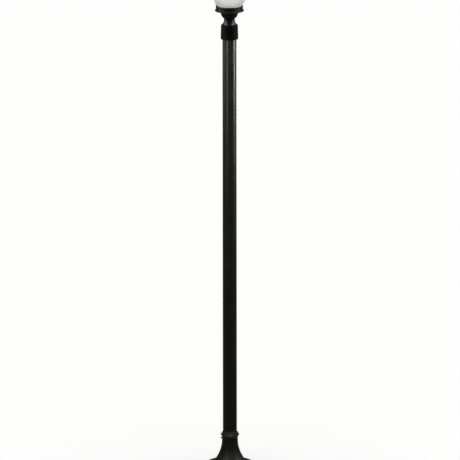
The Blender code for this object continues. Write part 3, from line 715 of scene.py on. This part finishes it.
# ---- Collar ----
# The sleeve that slips over the tube's top end and stands on it by its top plate. Cast, turned true
# and finished in a matt black that is duller and deeper than the rest.
matt_black = black_coat(
    "matt_black",
    (0.0026, 0.0026, 0.0025),
    roughness=0.62,
    peel=0.0007,
    lump=0.004,
    lumps=1.2,
    dust=0.03,
    wear_and_highlight=0.3,
    specular=0.12,
)
collar_foot = 0.048
collar_top = 0.0457
collar_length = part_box("fitter_collar")[1].z - head_height
collar_web = 0.008
nipple_hole = 0.00865
collar_corners = [
    (socket_bore, 0.0, 0.0006),
    (collar_foot, 0.0, 0.0032),
    (collar_top, collar_length, 0.0012),
    (nipple_hole, collar_length, 0.0003),
    (nipple_hole, collar_length - collar_web, 0.0003),
    (socket_bore, collar_length - collar_web, 0.0015),
]
collar = turned("top_collar", ring_of(collar_corners), head_height)
for azimuth in collar_screw_azimuths:
    cut(collar, radial_rod(set_screw_hole, drill_start, drill_end, azimuth, collar_screw_height))
collar.data.materials.append(matt_black)
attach(collar, "head")
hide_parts("fitter_collar")
keep_from(away_from_sides, collar)
lit_head.objects.link(collar)


# ---- Neck ----
# The bell-shaped casting on the collar. Its throat opens into a small bowl that carries the cup, and
# it is hollow to save metal. It has the base's coat in a deeper black.
def flowing(points, steps=6):
    """Points on a smooth curve through the given (radius, height) ones."""
    places = [Vector(point) for point in points]
    ends = [places[0] * 2 - places[1], *places, places[-1] * 2 - places[-2]]
    curve = [places[0]]
    for index in range(len(places) - 1):
        before, start, end, after = ends[index : index + 4]
        for step in range(1, steps + 1):
            t = step / steps
            bend = (after - before - 3 * (end - start)) * t**3
            bend += (2 * before - 5 * start + 4 * end - after) * t**2
            curve.append(start + ((end - before) * t + bend) / 2)
    return curve


deep_black = black_coat(
    "deep_black",
    (0.0035, 0.0035, 0.0032),
    roughness=0.36,
    peel=0.0011,
    lump=0.006,
    lumps=1.6,
    dust=0.05,
    wear_and_highlight=0.3,
    specular=0.45,
)
neck_low, _, bowl_height = extent("fitter_neck")
throat_radius = 0.0286
bell_flare = 0.0169
bell_decay = 0.0097
bell_height = 0.032
bell_steps = 12
hollow_radius = 0.0235
neck_floor = 0.008
bell_points = []
for step in range(bell_steps + 1):
    height = bell_height * (step / bell_steps) ** 1.6
    bell_points.append((throat_radius + bell_flare * math.exp(-height / bell_decay), height))
bowl_points = [(0.0304, 0.037), (0.037, 0.043), (0.0411, 0.0485), (0.0462, 0.060), (0.0492, bowl_height)]
hollow_points = [(0.0440, bowl_height), (0.0410, 0.060), (0.0330, 0.0485), (hollow_radius, 0.042)]
neck_outline = [
    *flowing([*bell_points, *bowl_points], 3),
    *flowing(hollow_points, 4),
    (hollow_radius, neck_floor),
    (nipple_hole, neck_floor),
    (nipple_hole, 0.0),
    bell_points[0],
]
neck = turned("bell_neck", neck_outline, neck_low.z)
neck.data.materials.append(deep_black)
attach(neck, "head")
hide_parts("fitter_neck")
keep_from(away_from_sides, neck)
lit_head.objects.link(neck)

# ---- Gallery cup ----
# The shallow cup that holds the globe, spun from sheet with its lip rolled over outwards and a groove
# above it, and drilled for the three thumb screws. Its black is a little duller than the neck's.
cup_low, cup_high, cup_height = extent("gallery_cup")
cup_floor = 0.004
lip_radius = cup_high.x
cup_wall = 0.0735
cup_inside = 0.0708
cup_sides = 160
cup_corners = [
    (nipple_hole, 0.0, 0.0003),
    (lip_radius, 0.0, 0.0016),
    (lip_radius, 0.0048, 0.0022),
    (cup_wall + 0.0012, 0.0068, 0.0010),
    (cup_wall - 0.0013, 0.0086, 0.0012),
    (cup_wall, 0.0108, 0.0012),
    (cup_wall, 0.0262, 0.0030),
    (cup_wall + 0.0006, cup_height - 0.0012, 0.0008),
    (cup_wall - 0.0004, cup_height, 0.0003),
    (cup_inside, cup_height, 0.0006),
    (cup_inside, cup_floor, 0.0016),
    (nipple_hole, cup_floor, 0.0003),
]
gallery = turned("globe_cup", ring_of(cup_corners), cup_low.z, cup_sides)
thumb_azimuths = (90, 210, 330)
thumb_height = cup_low.z + 0.0177
thumb_shank = 0.0025
clearance = 0.0003
for azimuth in thumb_azimuths:
    cut(gallery, radial_rod(thumb_shank + clearance, 0.060, 0.080, azimuth, thumb_height))
satin_black = black_coat(
    "satin_black",
    (0.0035, 0.0035, 0.0034),
    roughness=0.46,
    peel=0.0010,
    lump=0.008,
    lumps=0.8,
    dust=0.04,
    wear_and_highlight=0.3,
    specular=0.4,
)
gallery.data.materials.append(satin_black)
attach(gallery, "head")
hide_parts("gallery_cup")
keep_from(away_from_sides, gallery)
lit_head.objects.link(gallery)

# ---- Globe gasket ----
# A soft foam-rubber ring, die-cut from sheet. It lies on the cup's floor and beds the globe's foot.
mould, given, result = new_group(
    "moulded_surface",
    {"Colour": "colour", "Roughness": "value", "Grain Scale": "value", "Mottle": "value"},
    {"Colour": "colour", "Roughness": "value", "Height": "value"},
)
position = mould.nodes.new("ShaderNodeTexCoord")
here = position.outputs["Object"]
mottle_scale = 45.0
grain = noise_node(mould, here, given.outputs["Grain Scale"], 3.0)
cloud = noise_node(mould, here, mottle_scale, 4.0)
cloud_value = stretch_node(mould, (-0.5, 0.5), 0.3, 0.7, cloud)
cloud_value = math_node(mould, "MULTIPLY", cloud_value, given.outputs["Mottle"])
shade = mould.nodes.new("ShaderNodeHueSaturation")
mould.links.new(given.outputs["Colour"], shade.inputs["Color"])
mould.links.new(math_node(mould, "ADD", cloud_value, 1.0), shade.inputs["Value"])
mould.links.new(shade.outputs["Color"], result.inputs["Colour"])
moulded_shift = stretch_node(mould, (-0.05, 0.05), 0.3, 0.7, cloud)
moulded_roughness = math_node(mould, "ADD", given.outputs["Roughness"], moulded_shift, clamp=True)
mould.links.new(moulded_roughness, result.inputs["Roughness"])
mould.links.new(grain, result.inputs["Height"])


def moulded(name, colour, roughness, grain, mottle, relief=0.00002, **shader_values):
    """A plastic, rubber, glass or glazed surface. The grain is the size of its ripples in metres."""
    values = {
        "Colour": (*colour, 1),
        "Roughness": roughness,
        "Grain Scale": 1 / grain,
        "Mottle": mottle,
    }
    return surfaced(name, mould, values, relief, **shader_values)


foam_rubber = moulded(
    "foam_rubber", (0.028, 0.028, 0.028), roughness=0.88, grain=0.0008, mottle=0.3, relief=0.0002
)
gasket_low, _, gasket_thickness = extent("globe_gasket")
gasket_inside = 0.0600
gasket_outside = 0.0690
gasket_corners = [
    (gasket_inside, 0.0, 0.0006),
    (gasket_outside, 0.0, 0.0006),
    (gasket_outside, gasket_thickness, 0.0010),
    (gasket_inside, gasket_thickness, 0.0010),
]
gasket = turned("foam_gasket", ring_of(gasket_corners), gasket_low.z)
gasket.data.materials.append(foam_rubber)
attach(gasket, "head")
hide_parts("globe_gasket")

# ---- Globe ----
# An opal glass globe, mould-blown in one piece with its straight neck. The foot of the neck is cut
# and fire-polished round, and the shoulder runs into the ball in a soft curve.
globe_low, _, globe_height = extent("globe")
globe_radius = 0.089
globe_wall = 0.0035
globe_neck = 0.0667
globe_centre = globe_height - globe_radius
shoulder = 5.0  # degrees of the ball that the soft shoulder takes up
neck_steps = 4
ball_steps = 48
foot_steps = 8
globe_sides = 160


def globe_outline(radius, neck_radius):
    """One face of the globe's wall: straight up the neck, through the shoulder, and round to the top."""
    lowest = 180 - math.degrees(math.asin(neck_radius / radius)) - shoulder
    neck_top = globe_centre - radius * math.cos(math.asin(neck_radius / radius)) - 0.004
    neck_face = [(neck_radius, neck_top * (0.1 + 0.9 * step / neck_steps)) for step in range(neck_steps + 1)]
    ball_face = []
    for step in range(ball_steps + 1):
        angle = math.radians(lowest * (1 - step / ball_steps))
        ball_face.append((radius * math.sin(angle), globe_centre + radius * math.cos(angle)))
    return [*flowing([*neck_face, *ball_face[:4]], 4), *ball_face[4:]]


outer_face = globe_outline(globe_radius, globe_neck)
inner_face = globe_outline(globe_radius - globe_wall, globe_neck - globe_wall)
foot_radius = globe_wall / 2
foot_round = []
for step in range(foot_steps + 1):
    angle = math.pi * (1 + step / foot_steps)
    foot_x = globe_neck - foot_radius + foot_radius * math.cos(angle)
    foot_round.append((foot_x, foot_radius + foot_radius * math.sin(angle)))
globe_faces = [*reversed(inner_face), *foot_round, *outer_face]
globe = turned("opal_globe", globe_faces, globe_low.z, globe_sides, 60)
opal_glass = moulded(
    "opal_glass",
    (0.875, 0.845, 0.83),
    roughness=0.16,
    grain=0.004,
    mottle=0.03,
    relief=0.00004,
    Subsurface_Weight=0.35,
    Subsurface_Radius=(0.012, 0.011, 0.010),
    Subsurface_Scale=1.0,
    Coat_Weight=0.3,
    Coat_Roughness=0.04,
)
globe.data.materials.append(opal_glass)
lit_globe.objects.link(globe)
keep_from(away_from_sides, globe)
keep_from(away_from_tops, globe)
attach(globe, "globe")
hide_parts("globe")


# ---- Thumb screws ----
# Three steel screws with round knurled heads, through the cup's wall, which centre the globe's neck
# and hold it. Blackened to match the cup.
def rib_rows(piece, low, high, count, share, radius):
    """Presses a count of upright grooves into what a turned piece has beyond a radius, low to high."""
    for vertex in piece.data.vertices:
        reach = math.hypot(vertex.co.x, vertex.co.y)
        if low < vertex.co.z < high and reach > radius:
            turn = math.atan2(vertex.co.y, vertex.co.x)
            press = 1 - share * (0.5 + 0.5 * math.cos(turn * count))
            vertex.co.x *= press
            vertex.co.y *= press
    piece.data.update()


thumb_tip = globe_neck + clearance
thumb_face = cup_wall + 0.0008
thumb_end = 0.0812
thumb_head_radius = 0.005
thumb_length = thumb_end - thumb_tip
thumb_head = thumb_face - thumb_tip
thumb_outline = [
    (0, 0),
    (thumb_shank - 0.0006, 0),
    (thumb_shank, 0.0006),
    (thumb_shank, thumb_head),
    (thumb_head_radius - 0.0008, thumb_head),
    (thumb_head_radius - 0.0002, thumb_head + 0.0005),
    (thumb_head_radius, thumb_head + 0.0008),
    (thumb_head_radius, thumb_head + 0.0030),
    (thumb_head_radius, thumb_length - 0.0008),
    (thumb_head_radius - 0.0002, thumb_length - 0.0005),
    (thumb_head_radius - 0.0008, thumb_length),
    (0.0022, thumb_length),
    (0.0016, thumb_length - 0.0006),
    (0, thumb_length - 0.0006),
]
knurl_low = thumb_tip + thumb_head + 0.0006
knurl_high = thumb_tip + thumb_length - 0.0006
knurl_count = 24
knurl_share = 0.07
for index, azimuth in enumerate(thumb_azimuths, 1):
    thumb_screw = turned(f"knurled_screw_{index}", thumb_outline, thumb_tip, 96, 25)
    rib_rows(thumb_screw, knurl_low, knurl_high, knurl_count, knurl_share, thumb_head_radius - 0.0005)
    place(thumb_screw, (0, 0, thumb_height), (0, math.pi / 2, math.radians(azimuth)))
    thumb_screw.data.materials.append(blackened_steel)
    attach(thumb_screw, f"thumb_screw_{index}")
    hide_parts(f"thumb_screw_{index}")


# ---- Threaded nipple, its nuts and bushing ----
# A zinc-plated steel pipe, threaded all along, that clamps collar, neck, cup and strap together
# between two hexagon nuts. A plastic bushing at its lower end keeps the leads off the cut edge.
def roll_thread(piece, low, high, radius, depth, pitch):
    """Rolls a helical thread into what a turned piece has beyond a radius, low to high."""
    for vertex in piece.data.vertices:
        reach = math.hypot(vertex.co.x, vertex.co.y)
        if low <= vertex.co.z <= high and reach > radius:
            turn = math.atan2(vertex.co.y, vertex.co.x) / (2 * math.pi)
            fade = min(1.0, (vertex.co.z - low) / pitch, (high - vertex.co.z) / pitch)
            wave = 0.5 + 0.5 * math.cos(2 * math.pi * ((vertex.co.z - low) / pitch - turn))
            press = 1 - depth * wave * fade / reach
            vertex.co.x *= press
            vertex.co.y *= press
    piece.data.update()


def courses_up(radius, low, high, spacing):
    """Outline points straight up or down at a radius, close enough to carry a thread."""
    count = max(1, round(abs(high - low) / spacing))
    return [(radius, low + (high - low) * step / count) for step in range(count + 1)]


zinc_plate = bare_metal(
    "zinc_plate", (0.53, 0.53, 0.50), (0.42, 0.39, 0.30), tarnish=0.6, roughness=0.34
)
nipple_low, nipple_high, nipple_length = extent("nipple")
nipple_radius = nipple_high.x
nipple_bore = 0.0063
nipple_pitch = 0.0014
nipple_thread_depth = 0.0006
nipple_outline = [
    (nipple_bore, 0),
    *courses_up(nipple_radius, 0.0003, nipple_length - 0.0003, nipple_pitch / 5),
    (nipple_bore, nipple_length),
    (nipple_bore, 0),
]
nipple = turned("threaded_nipple", nipple_outline, nipple_low.z, 64, 50)
nipple_face = nipple_radius - 0.0002
roll_thread(nipple, nipple_low.z, nipple_high.z, nipple_face, nipple_thread_depth, nipple_pitch)
nipple.data.materials.append(zinc_plate)
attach(nipple, "head")
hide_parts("nipple")
nut_flats = 0.026
nut_bevel = 0.0006
nut_corner = nut_flats / math.sqrt(3)
nut_face = nut_flats / 2 - 0.0003
nut_chamfer = (nut_corner - nut_face) * math.tan(math.radians(30))
for name, node in (("lower_nut", "nipple_nut_lower"), ("upper_nut", "nipple_nut_upper")):
    nut_low, _, nut_height = extent(node)
    blank_outline = [
        (nipple_hole + nut_bevel, 0),
        (nut_face, 0),
        (nut_corner, nut_chamfer),
        (nut_corner, nut_height - nut_chamfer),
        (nut_face, nut_height),
        (nipple_hole + nut_bevel, nut_height),
        (nipple_hole, nut_height - nut_bevel),
        (nipple_hole, nut_bevel),
        (nipple_hole + nut_bevel, 0),
    ]
    nut = turned(name, blank_outline, nut_low.z, 96)
    nut_middle = (0, 0, nut_low.z + nut_height / 2)
    drill(nut, nut_corner, nut_height + 0.01, nut_middle, 6, "INTERSECT")
    nut.data.materials.append(zinc_plate)
    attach(nut, "head")
    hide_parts(node)
black_nylon = moulded("black_nylon", (0.022, 0.022, 0.021), roughness=0.42, grain=0.0006, mottle=0.25)
bushing_low, bushing_high, bushing_height = extent("nipple_bushing")
bushing_bore = 0.0055
bushing_step = 0.0035
bushing_corners = [
    (bushing_bore, 0.0, 0.0014),
    (bushing_high.x, 0.0, 0.0010),
    (bushing_high.x, bushing_height, 0.0005),
    (nipple_hole, bushing_height, 0.0003),
    (nipple_hole, bushing_step, 0.0003),
    (bushing_bore, bushing_step, 0.0006),
]
bushing = turned("lead_bushing", ring_of(bushing_corners), bushing_low.z, 64)
bushing.data.materials.append(black_nylon)
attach(bushing, "head")
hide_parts("nipple_bushing")


# ---- Strap and earth screw ----
# A zinc-plated steel strap, pierced and bent into a bridge that lifts the lampholder. The nipple's
# upper nut clamps its foot, and a green screw in one upright takes the earth lead.
def strip_piece(name, line, width, thickness, material):
    """A bent strip: its centre line drawn, extruded to a width and thickened."""
    piece = drawn(name, line, -width / 2)
    bpy.ops.mesh.extrude_edges_move(TRANSFORM_OT_translate={"value": (0, width, 0)})
    bpy.ops.mesh.select_all(action="SELECT")
    bpy.ops.mesh.normals_make_consistent(inside=False)
    bpy.ops.object.mode_set(mode="OBJECT")
    apply_modifier(piece, "SOLIDIFY", thickness=thickness, offset=0.0, use_even_offset=True)
    piece.data.materials.append(material)
    return piece


def ease_edges(piece, width):
    """Rounds the sharp edges of a strip."""
    sharp = math.radians(50)
    apply_modifier(piece, "BEVEL", width=width, segments=2, limit_method="ANGLE", angle_limit=sharp)


strap_low, strap_high, strap_height = extent("socket_bracket")
strap_sheet = 0.002
strap_floor = strap_sheet / 2
strap_top = strap_height - strap_sheet / 2
strap_middle = 0.019 - strap_sheet / 2
strap_bend = 0.0018
strap_corners = [
    (-strap_high.x, strap_top, 0),
    (-strap_middle, strap_top, strap_bend),
    (-strap_middle, strap_floor, strap_bend),
    (strap_middle, strap_floor, strap_bend),
    (strap_middle, strap_top, strap_bend),
    (strap_high.x, strap_top, 0),
]
strap_line = [(x, z + strap_low.z) for x, z in rounded(strap_corners)]
strap = strip_piece("lampholder_strap", strap_line, strap_high.y - strap_low.y, strap_sheet, zinc_plate)
ease_edges(strap, 0.0003)
socket_screw_offset = 0.025
socket_screw_radius = 0.0018
strap_drill_depth = 0.012
drill(strap, nipple_hole, strap_drill_depth, (0, 0, strap_low.z), 48)
for x in (-socket_screw_offset, socket_screw_offset):
    drill(strap, socket_screw_radius + clearance, strap_drill_depth, (x, 0, strap_high.z), 48)
earth_low, earth_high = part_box("earth_screw")
earth_height = (earth_low.z + earth_high.z) / 2
earth_shank = 0.0020
cut(strap, radial_rod(earth_shank + clearance, 0.010, 0.025, 0, earth_height))
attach(strap, "head")
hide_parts("socket_bracket")


def slotted_screw(name, shank_radius, shank_length, head_radius, head_height, material):
    """A screw with a domed, slotted head that stands up from z = 0, and its thread below."""
    pitch = 0.0007
    slot_size = (head_radius * 2.2, head_radius * 0.26, head_height * 0.9)
    dome = [
        (head_radius, 0.0),
        (head_radius, head_height * 0.45),
        (head_radius * 0.96, head_height * 0.68),
        (head_radius * 0.82, head_height * 0.88),
        (head_radius * 0.5, head_height * 0.98),
        (0, head_height),
    ]
    shank = courses_up(shank_radius, -shank_length + 0.0004, -0.0008, pitch / 5)
    outline = [(0, -shank_length), (shank_radius - 0.0004, -shank_length), *shank, (shank_radius, 0), *dome]
    screw = turned(name, outline, 0, 40, 40)
    roll_thread(screw, -shank_length + 0.0003, -0.0006, shank_radius - 0.0001, shank_radius * 0.16, pitch)
    bpy.ops.object.select_all(action="DESELECT")
    bpy.ops.mesh.primitive_cube_add(size=1, location=(0, 0, head_height), scale=slot_size)
    cut(screw, bpy.context.object, smooth_angle=40)
    screw.data.materials.append(material)
    return screw


green_coat = bare_metal(
    "green_coat", (0.045, 0.26, 0.09), (0.09, 0.20, 0.07), tarnish=0.6, roughness=0.36, metallic=0.5
)
earth_head = 0.003
earth_head_radius = 0.0035
earth_reach = earth_high.x - earth_low.x - earth_head
earth_screw = slotted_screw(
    "green_earth_screw", earth_shank, earth_reach, earth_head_radius, earth_head, green_coat
)
place(earth_screw, (earth_low.x + earth_head, 0, earth_height), (0, -math.pi / 2, 0))
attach(earth_screw, "head")
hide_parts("earth_screw")

# ---- Lampholder ----
# A glazed porcelain body with a pressed brass screw shell and a sprung brass contact inside. Two
# screws fix it to the strap, and its two terminals are screws in its underside.
white_glaze = moulded(
    "white_glaze",
    (0.80, 0.79, 0.75),
    roughness=0.12,
    grain=0.003,
    mottle=0.08,
    relief=0.00003,
    Coat_Weight=0.6,
    Coat_Roughness=0.05,
)
holder_low, holder_high, holder_height = extent("socket_body")
holder_flange = 0.005
holder_radius = 0.020
holder_floor = 0.007
shell_low, shell_high, shell_height = extent("socket_shell")
shell_radius = shell_high.x
holder_bore = shell_radius + clearance
holder_corners = [
    (0.0, 0.0, 0),
    (holder_high.x, 0.0, 0.0008),
    (holder_high.x, holder_flange, 0.0012),
    (holder_radius, holder_flange, 0.0014),
    (holder_radius, holder_height, 0.0016),
    (holder_bore, holder_height, 0.0010),
    (holder_bore, holder_floor, 0.0008),
    (0.0, holder_floor, 0),
]
lampholder = turned("porcelain_body", rounded(holder_corners), holder_low.z, 96)
for x in (-socket_screw_offset, socket_screw_offset):
    drill(lampholder, socket_screw_radius + clearance, 4 * holder_flange, (x, 0, holder_low.z), 40)
terminal_offset = 0.012
terminal_radius = 0.0015
terminal_depth = 0.0045
for y in (-terminal_offset, terminal_offset):
    drill(lampholder, terminal_radius + clearance, 2 * terminal_depth, (0, y, holder_low.z), 32)
lampholder.data.materials.append(white_glaze)
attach(lampholder, "head")
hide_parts("socket_body")

pressed_brass = bare_metal(
    "pressed_brass", (0.72, 0.52, 0.23), (0.36, 0.22, 0.09), tarnish=0.7, roughness=0.26
)
shell_wall = 0.0006
shell_mouth = 0.008  # radius of the opening in its floor
lamp_thread = 0.0036
shell_outline = [
    (shell_mouth, 0),
    (shell_radius - 0.0006, 0),
    *courses_up(shell_radius, 0.0006, shell_height, lamp_thread / 12),
    *courses_up(shell_radius - shell_wall, shell_height, 0.0012, lamp_thread / 12),
    (shell_radius - 0.0012, 0.0007),
    (shell_mouth, 0.0007),
    (shell_mouth, 0),
]
screw_shell = turned("brass_shell", shell_outline, shell_low.z, 96, 50)
shell_thread_face = 0.0125
shell_thread_depth = 0.0009
thread_foot = shell_low.z + 0.001
thread_head = shell_high.z - 0.0004
roll_thread(screw_shell, thread_foot, thread_head, shell_thread_face, shell_thread_depth, lamp_thread)
screw_shell.data.materials.append(pressed_brass)
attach(screw_shell, "head")
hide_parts("socket_shell")
contact_sheet = 0.0007
contact_width = 0.005
contact_bends = [(0.0065, 0.00035), (0.002, 0.0007), (-0.0015, 0.0031), (-0.0028, 0.0034), (-0.0038, 0.0031)]
contact_line = [(x, z + shell_low.z) for x, z in flowing(contact_bends, 5)]
contact = strip_piece("contact_spring", contact_line, contact_width, contact_sheet, pressed_brass)
ease_edges(contact, 0.00015)
bpy.ops.object.shade_smooth_by_angle(angle=math.radians(35))
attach(contact, "head")
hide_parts("socket_contact")
pan_head = 0.0024
pan_head_radius = 0.0034
fixing_length = 0.0115
for side, x in (("left", -socket_screw_offset), ("right", socket_screw_offset)):
    name = f"fixing_screw_{side}"
    fixing = slotted_screw(name, socket_screw_radius, fixing_length, pan_head_radius, pan_head, zinc_plate)
    head_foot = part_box(f"socket_screw_{side}")[1].z - pan_head
    slot_turn = math.radians(x * 1400)
    place(fixing, (x, 0, head_foot), (0, 0, slot_turn))
    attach(fixing, "head")
    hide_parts(f"socket_screw_{side}")
terminal_head_radius = 0.003
terminal_reach = terminal_depth - clearance
for pole, y in (("line", terminal_offset), ("neutral", -terminal_offset)):
    name = f"terminal_{pole}"
    terminal = slotted_screw(
        name, terminal_radius, terminal_reach, terminal_head_radius, pan_head, pressed_brass
    )
    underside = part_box(f"terminal_screw_{pole}")[0].z
    place(terminal, (0, y, underside + pan_head), (math.pi, 0, 0))
    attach(terminal, "head")
    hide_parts(f"terminal_screw_{pole}")

# ---- Leads and connectors ----
# Three insulated leads run from the lampholder and strap down through the nipple, each into a red
# twist-on connector in the top of the tube. The leads keep their CAD routes.
lead_colours = {
    "line": ("insulation_black", (0.022, 0.022, 0.021)),
    "neutral": ("insulation_white", (0.78, 0.77, 0.73)),
    "earth": ("insulation_green", (0.045, 0.32, 0.09)),
}
for pole, (slot, colour) in lead_colours.items():
    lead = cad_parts[f"lead_{pole}"].copy()
    lead.data = lead.data.copy()
    lead.name = f"{pole}_lead"
    lead.data.name = lead.name
    bpy.context.scene.collection.objects.link(lead)
    lead.data.materials.clear()
    insulation = moulded(slot, colour, roughness=0.38, grain=0.0009, mottle=0.15, relief=0.00004)
    lead.data.materials.append(insulation)
    select_only(lead)
    bpy.ops.object.mode_set(mode="EDIT")
    bpy.ops.mesh.select_all(action="SELECT")
    bpy.ops.mesh.remove_doubles(threshold=0.00001)
    bpy.ops.object.mode_set(mode="OBJECT")
    bpy.ops.object.shade_smooth_by_angle(angle=math.radians(60))
    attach(lead, "head")
    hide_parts(f"lead_{pole}")
red_shell = moulded("red_shell", (0.50, 0.055, 0.035), roughness=0.42, grain=0.0007, mottle=0.2)
connector_radius = 0.006
connector_offset = 0.014
connector_bore = 0.0026
connector_depth = 0.009
grip_count = 18
grip_share = 0.09
for index, pole in enumerate(lead_colours):
    connector_low, _, connector_length = extent(f"wire_connector_{pole}")
    turn = math.radians(90 + 120 * index)
    connector_corners = [
        (0.0, 0.0, 0),
        (0.0035, 0.0, 0.0012),
        (0.0046, 0.0040, 0.0010),
        (connector_radius - 0.0004, connector_length * 0.72, 0.0020),
        (connector_radius, connector_length, 0.0005),
        (connector_bore, connector_length, 0.0006),
        (connector_bore, connector_length - connector_depth, 0.0003),
        (0.0, connector_length - connector_depth, 0),
    ]
    connector = turned(f"twist_connector_{pole}", rounded(connector_corners), 0, 72, 30)
    rib_rows(connector, 0.0042, connector_length * 0.75, grip_count, grip_share, 0.0044)
    place(connector, around(connector_offset, turn, connector_low.z))
    connector.data.materials.append(red_shell)
    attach(connector, "head")
    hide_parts(f"wire_connector_{pole}")

# ---- Bulb ----
# A screw-in lamp: soldered brass eyelet, black insulator, rolled aluminium cap, white ribbed housing
# that sheds the heat, circuit plate with its ring of chips, and an opal plastic dome.
eyelet_low, _, eyelet_height = extent("bulb_contact")
eyelet_outline = flowing([(0, 0), (0.0022, 0.00012), (0.0040, 0.0006), (0.0049, 0.0013)], 4)
eyelet_outline += [(0.0050, eyelet_height), (0, eyelet_height)]
eyelet = turned("bulb_eyelet", eyelet_outline, eyelet_low.z, 48)
eyelet.data.materials.append(pressed_brass)
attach(eyelet, "bulb")
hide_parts("bulb_contact")
insulator_low, _, insulator_height = extent("bulb_insulator")
insulator_radius = 0.0105
insulator_corners = [
    (0.0, 0.0, 0),
    (0.006, 0.0, 0.0008),
    (insulator_radius, 0.0027, 0.0010),
    (insulator_radius, insulator_height, 0.0003),
    (0.0, insulator_height, 0),
]
insulator = turned("bulb_insulating_ring", rounded(insulator_corners), insulator_low.z, 64)
insulator.data.materials.append(black_nylon)
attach(insulator, "bulb")
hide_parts("bulb_insulator")
rolled_aluminium = bare_metal(
    "rolled_aluminium", (0.77, 0.77, 0.78), (0.55, 0.55, 0.56), tarnish=0.5, roughness=0.30
)
cap_low, cap_high, cap_height = extent("bulb_cap")
cap_radius = cap_high.x
cap_wall = 0.0006
cap_outline = [
    (0, 0),
    (0.0103, 0),
    (0.0118, 0.0009),
    *courses_up(cap_radius, 0.0024, cap_height, lamp_thread / 12),
    *courses_up(cap_radius - cap_wall, cap_height, 0.0029, lamp_thread / 12),
    (0.0101, cap_wall),
    (0, cap_wall),
]
bulb_cap = turned("bulb_screw_cap", cap_outline, cap_low.z, 96, 50)
cap_thread_face = 0.0120
cap_thread_depth = 0.0010
thread_foot = cap_low.z + 0.0018
thread_head = cap_high.z - 0.0035
roll_thread(bulb_cap, thread_foot, thread_head, cap_thread_face, cap_thread_depth, lamp_thread)
bulb_cap.data.materials.append(rolled_aluminium)
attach(bulb_cap, "bulb")
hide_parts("bulb_cap")
white_polymer = moulded("white_polymer", (0.80, 0.795, 0.77), roughness=0.40, grain=0.0006, mottle=0.06)
housing_low, housing_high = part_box("bulb_housing")
spigot = 0.017
spigot_radius = 0.0121
spigot_bore = 0.0100
housing_foot = housing_low.z + spigot
housing_radius = housing_high.x
housing_rim = 0.037
rim_seat = 0.033
rim_wall = 0.002
housing_flare = [(0.0145, 0.0), (0.0158, 0.006), (0.020, 0.013), (0.027, 0.025)]
housing_outline = [
    (0, -spigot),
    (0.0115, -spigot),
    (spigot_radius, -spigot + 0.0006),
    (spigot_radius, 0.0),
    *flowing([*housing_flare, (housing_radius, rim_seat), (housing_radius, housing_rim)], 6),
    (housing_radius - rim_wall, housing_rim),
    (housing_radius - rim_wall, rim_seat),
    (0.0255, rim_seat),
    (0.0180, 0.015),
    (spigot_bore, 0.001),
    (spigot_bore, -0.015),
    (0, -0.015),
]
housing = turned("bulb_heat_body", housing_outline, housing_foot, 144, 30)
fin_count = 24
fin_share = 0.035
rib_rows(housing, housing_foot + 0.005, housing_foot + 0.029, fin_count, fin_share, 0.0158)
housing.data.materials.append(white_polymer)
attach(housing, "bulb")
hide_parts("bulb_housing")
plate_low, plate_high, plate_thickness = extent("bulb_led_plate")
plate_corners = [
    (0.0, 0.0, 0),
    (plate_high.x, 0.0, 0.0002),
    (plate_high.x, plate_thickness, 0.0002),
    (0.0, plate_thickness, 0),
]
circuit_plate = turned("circuit_plate", rounded(plate_corners, 2), plate_low.z, 72)
chip_size = 0.0028
chip_height = 0.0006
chip_circle = 0.018
chip_count = 10
for index in range(chip_count):
    turn = math.radians(360 / chip_count * index)
    bpy.ops.object.select_all(action="DESELECT")
    bpy.ops.mesh.primitive_cube_add(
        size=1,
        location=around(chip_circle, turn, plate_high.z),
        rotation=(0, 0, turn),
        scale=(chip_size, chip_size, 2 * chip_height),
    )
    cut(circuit_plate, bpy.context.object, "UNION")
solder_mask = moulded("solder_mask", (0.80, 0.80, 0.78), roughness=0.35, grain=0.0008, mottle=0.05)
circuit_plate.data.materials.append(solder_mask)
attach(circuit_plate, "bulb")
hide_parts("bulb_led_plate")
dome_low, dome_high, dome_height = extent("bulb_dome")
dome_radius = dome_high.x
dome_wall = 0.0015
dome_straight = dome_height - dome_radius
dome_bore = dome_radius - dome_wall
dome_steps = 30
outer_dome = [(dome_radius, 0.0)]
inner_dome = [(dome_bore, 0.0)]
for step in range(dome_steps + 1):
    angle = math.radians(90 * step / dome_steps)
    outer_dome.append((dome_radius * math.cos(angle), dome_straight + dome_radius * math.sin(angle)))
    inner_dome.append((dome_bore * math.cos(angle), dome_straight + dome_bore * math.sin(angle)))
dome = turned("bulb_diffuser", [*reversed(inner_dome), *outer_dome], dome_low.z, 96, 60)
opal_plastic = moulded(
    "opal_plastic",
    (0.86, 0.86, 0.84),
    roughness=0.42,
    grain=0.0007,
    mottle=0.03,
    Subsurface_Weight=0.3,
    Subsurface_Radius=(0.006, 0.006, 0.006),
    Subsurface_Scale=1.0,
)
dome.data.materials.append(opal_plastic)
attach(dome, "bulb")
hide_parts("bulb_dome")
